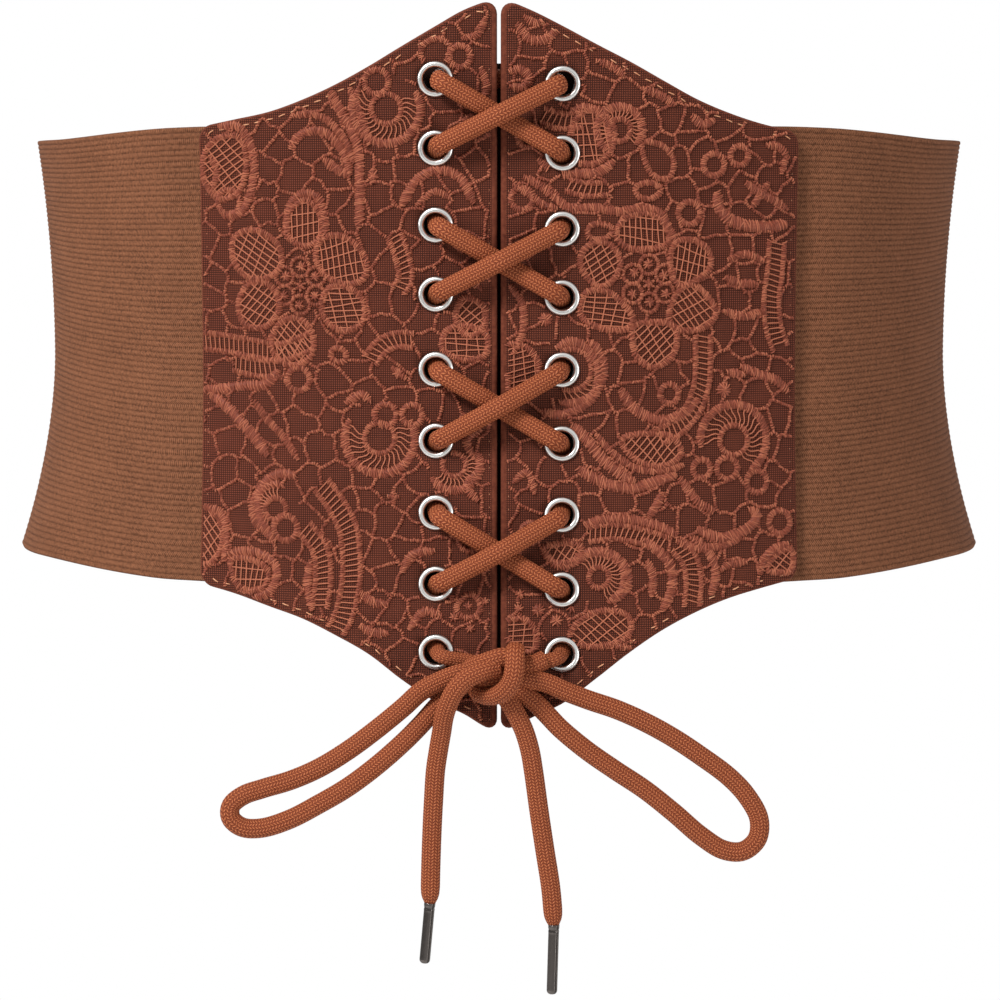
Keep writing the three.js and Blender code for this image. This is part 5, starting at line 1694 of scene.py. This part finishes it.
# %% Edge stitching
seam_in = 2.2
seam_tree, given = start_tree("Machine seam", [
    ("Step", "NodeSocketFloat", 3.7), ("Seed", "NodeSocketInt", 3)])
curve = add(seam_tree, "GeometryNodeMeshToCurve", inputs={"Mesh": given["Geometry"]})
spaced = add(seam_tree, "GeometryNodeResampleCurve", {"mode": "LENGTH"}, {
    "Curve": curve.outputs[0], "Length": given["Step"]})
arch = add(seam_tree, "GeometryNodeCurveQuadraticBezier", inputs={
    "Resolution": 6, "Start": (-0.9, 0, -0.2), "Middle": (0, 0, 0.42), "End": (0.9, 0, -0.2)})
ply = add(seam_tree, "GeometryNodeCurvePrimitiveCircle", inputs={"Resolution": 8, "Radius": 0.17})
one = add(seam_tree, "GeometryNodeCurveToMesh", inputs={
    "Curve": arch.outputs[0], "Profile Curve": ply.outputs[0], "Fill Caps": True})
tangent = add(seam_tree, "GeometryNodeInputTangent")
along = add(seam_tree, "FunctionNodeAlignRotationToVector", {"axis": "X", "pivot_axis": "Z"}, {
    "Vector": tangent.outputs[0]})
swing = add(seam_tree, "FunctionNodeRandomValue", {"data_type": "FLOAT"}, {
    2: -0.16, 3: 0.16, "Seed": given["Seed"]})
around = add(seam_tree, "ShaderNodeCombineXYZ", inputs={"Z": swing.outputs[1]})
turned = add(seam_tree, "FunctionNodeEulerToRotation", inputs={"Euler": around.outputs[0]})
final = add(seam_tree, "FunctionNodeRotateRotation", {"rotation_space": "LOCAL"}, {
    "Rotation": along.outputs[0], "Rotate By": turned.outputs[0]})
shown = add(seam_tree, "FunctionNodeRandomValue", {"data_type": "BOOLEAN"}, {
    "Probability": 0.8, "Seed": given["Seed"]})
sewn = add(seam_tree, "GeometryNodeInstanceOnPoints", inputs={
    "Points": spaced.outputs[0], "Selection": shown.outputs[3], "Instance": one.outputs[0],
    "Rotation": final.outputs[0]})
end_tree(seam_tree, sewn.outputs[0], sewing)
for side, label in ((-1, "left"), (1, "right")):
    seam = inset(outlines[side], seam_in)
    upright = (np.abs(seam[:, 0]) < 4) | (np.abs(seam[:, 0]) > panel_width - 3)
    height = np.where(upright, -0.25, 0.1)
    source = lines_object([raised(seam, height)], closed={0})
    stitched("edge_seam_" + label, source, seam_tree, {"Seed": 5 + side})

# %% [markdown]
# ## Sizes of the cloth
# The panels, the elastic and the strip are sheets of cloth. The panels' sizes and areas
# are measured here, and the strip's width is printed.

# %% Sizes of the cloth
for side in (-1, 1):
    ring = outlines[side]
    size = ring.max(axis=0) - ring.min(axis=0)
    abs(area_of(ring)) * MM * MM
bend = np.linspace(0, placket_half, 400)
strip_width = 2 * length_of(np.stack([bend, placket_off(bend)], axis=1))
print("strip:", round(strip_width, 1), "mm wide")

# %% [markdown]
# ## Floor and light
# The belt is shown as it is worn, so it stands clear of the floor, which lies well
# below it. The floor is plain and pale, and far from the belt it turns into the same
# white as the surroundings. One large soft lamp stands high in front, a weaker one on
# each side, and one behind keeps the elastic's edge apart from the white.

# %% Floor and light
fade_from, fade_to, floor_reach = 0.9, 1.7, 30.0
floor_height = -0.62
floor_white, tree, shader = finish("pale_floor", 0.9)
shader.inputs["Base Color"].default_value = srgb("efeeec")
place = add(tree, "ShaderNodeTexCoord")
away = add(tree, "ShaderNodeVectorMath", {"operation": "LENGTH"}, {0: place.outputs["Object"]})
far = add(tree, "ShaderNodeMapRange", inputs={
    "Value": away.outputs["Value"], "From Min": fade_from, "From Max": fade_to})
seen = add(tree, "ShaderNodeLightPath")
fade = add(tree, "ShaderNodeMath", {"operation": "MULTIPLY"}, {
    0: far.outputs[0], 1: seen.outputs["Is Camera Ray"]})
glow = add(tree, "ShaderNodeEmission", inputs={"Color": (1, 1, 1, 1), "Strength": 1.0})
mixed = add(tree, "ShaderNodeMixShader", inputs={
    0: fade.outputs[0], 1: shader.outputs[0], 2: glow.outputs[0]})
tree.links.new(mixed.outputs[0], tree.nodes["Material Output"].inputs["Surface"])
n = 96
floor_points = np.vstack([raised(circle((0, 0), reach / MM, n), 0.0)
                          for reach in (fade_from, fade_to, floor_reach)])
floor_faces = [range(n)] + [(i * n + k, i * n + (k + 1) % n, (i + 1) * n + (k + 1) % n, (i + 1) * n + k)
                            for i in range(2) for k in range(n)]
floor = piece("floor", floor_points, floor_faces, floor_white, smooth=False)
floor.location.z = floor_height


def lamp(name, at, size, power):
    data = bpy.data.lights.new(name, "AREA")
    data.shape = "DISK"
    data.size = size
    data.energy = power
    made = bpy.data.objects.new(name, data)
    made.location = at
    made.rotation_euler = (Vector((0, 0, -0.03)) - Vector(at)).to_track_quat("-Z", "Y").to_euler()
    scene.collection.objects.link(made)


lamp("key_lamp", (-0.85, -1.2, 1.3), 0.5, 36)
lamp("left_lamp", (-1.7, -0.7, 0.3), 0.8, 8)
lamp("right_lamp", (1.6, -0.8, -0.15), 0.9, 9)
lamp("back_lamp", (0.2, 1.7, 0.9), 0.9, 14)

world = bpy.data.worlds.new("white_surroundings")
world.use_nodes = True
scene.world = world
tree = world.node_tree
ground_light = tree.nodes["Background"]
ground_light.inputs["Color"].default_value = (1, 1, 1, 1)
seen = add(tree, "ShaderNodeLightPath")
level = add(tree, "ShaderNodeMapRange", inputs={
    "Value": seen.outputs["Is Camera Ray"], "To Min": 0.29, "To Max": 1.0})
strength = add(tree, "ShaderNodeMath", {"operation": "MULTIPLY_ADD"}, {
    0: seen.outputs["Is Glossy Ray"], 1: 0.45, 2: level.outputs[0]})
tree.links.new(strength.outputs[0], ground_light.inputs["Strength"])
scene.view_settings.view_transform = "Standard"
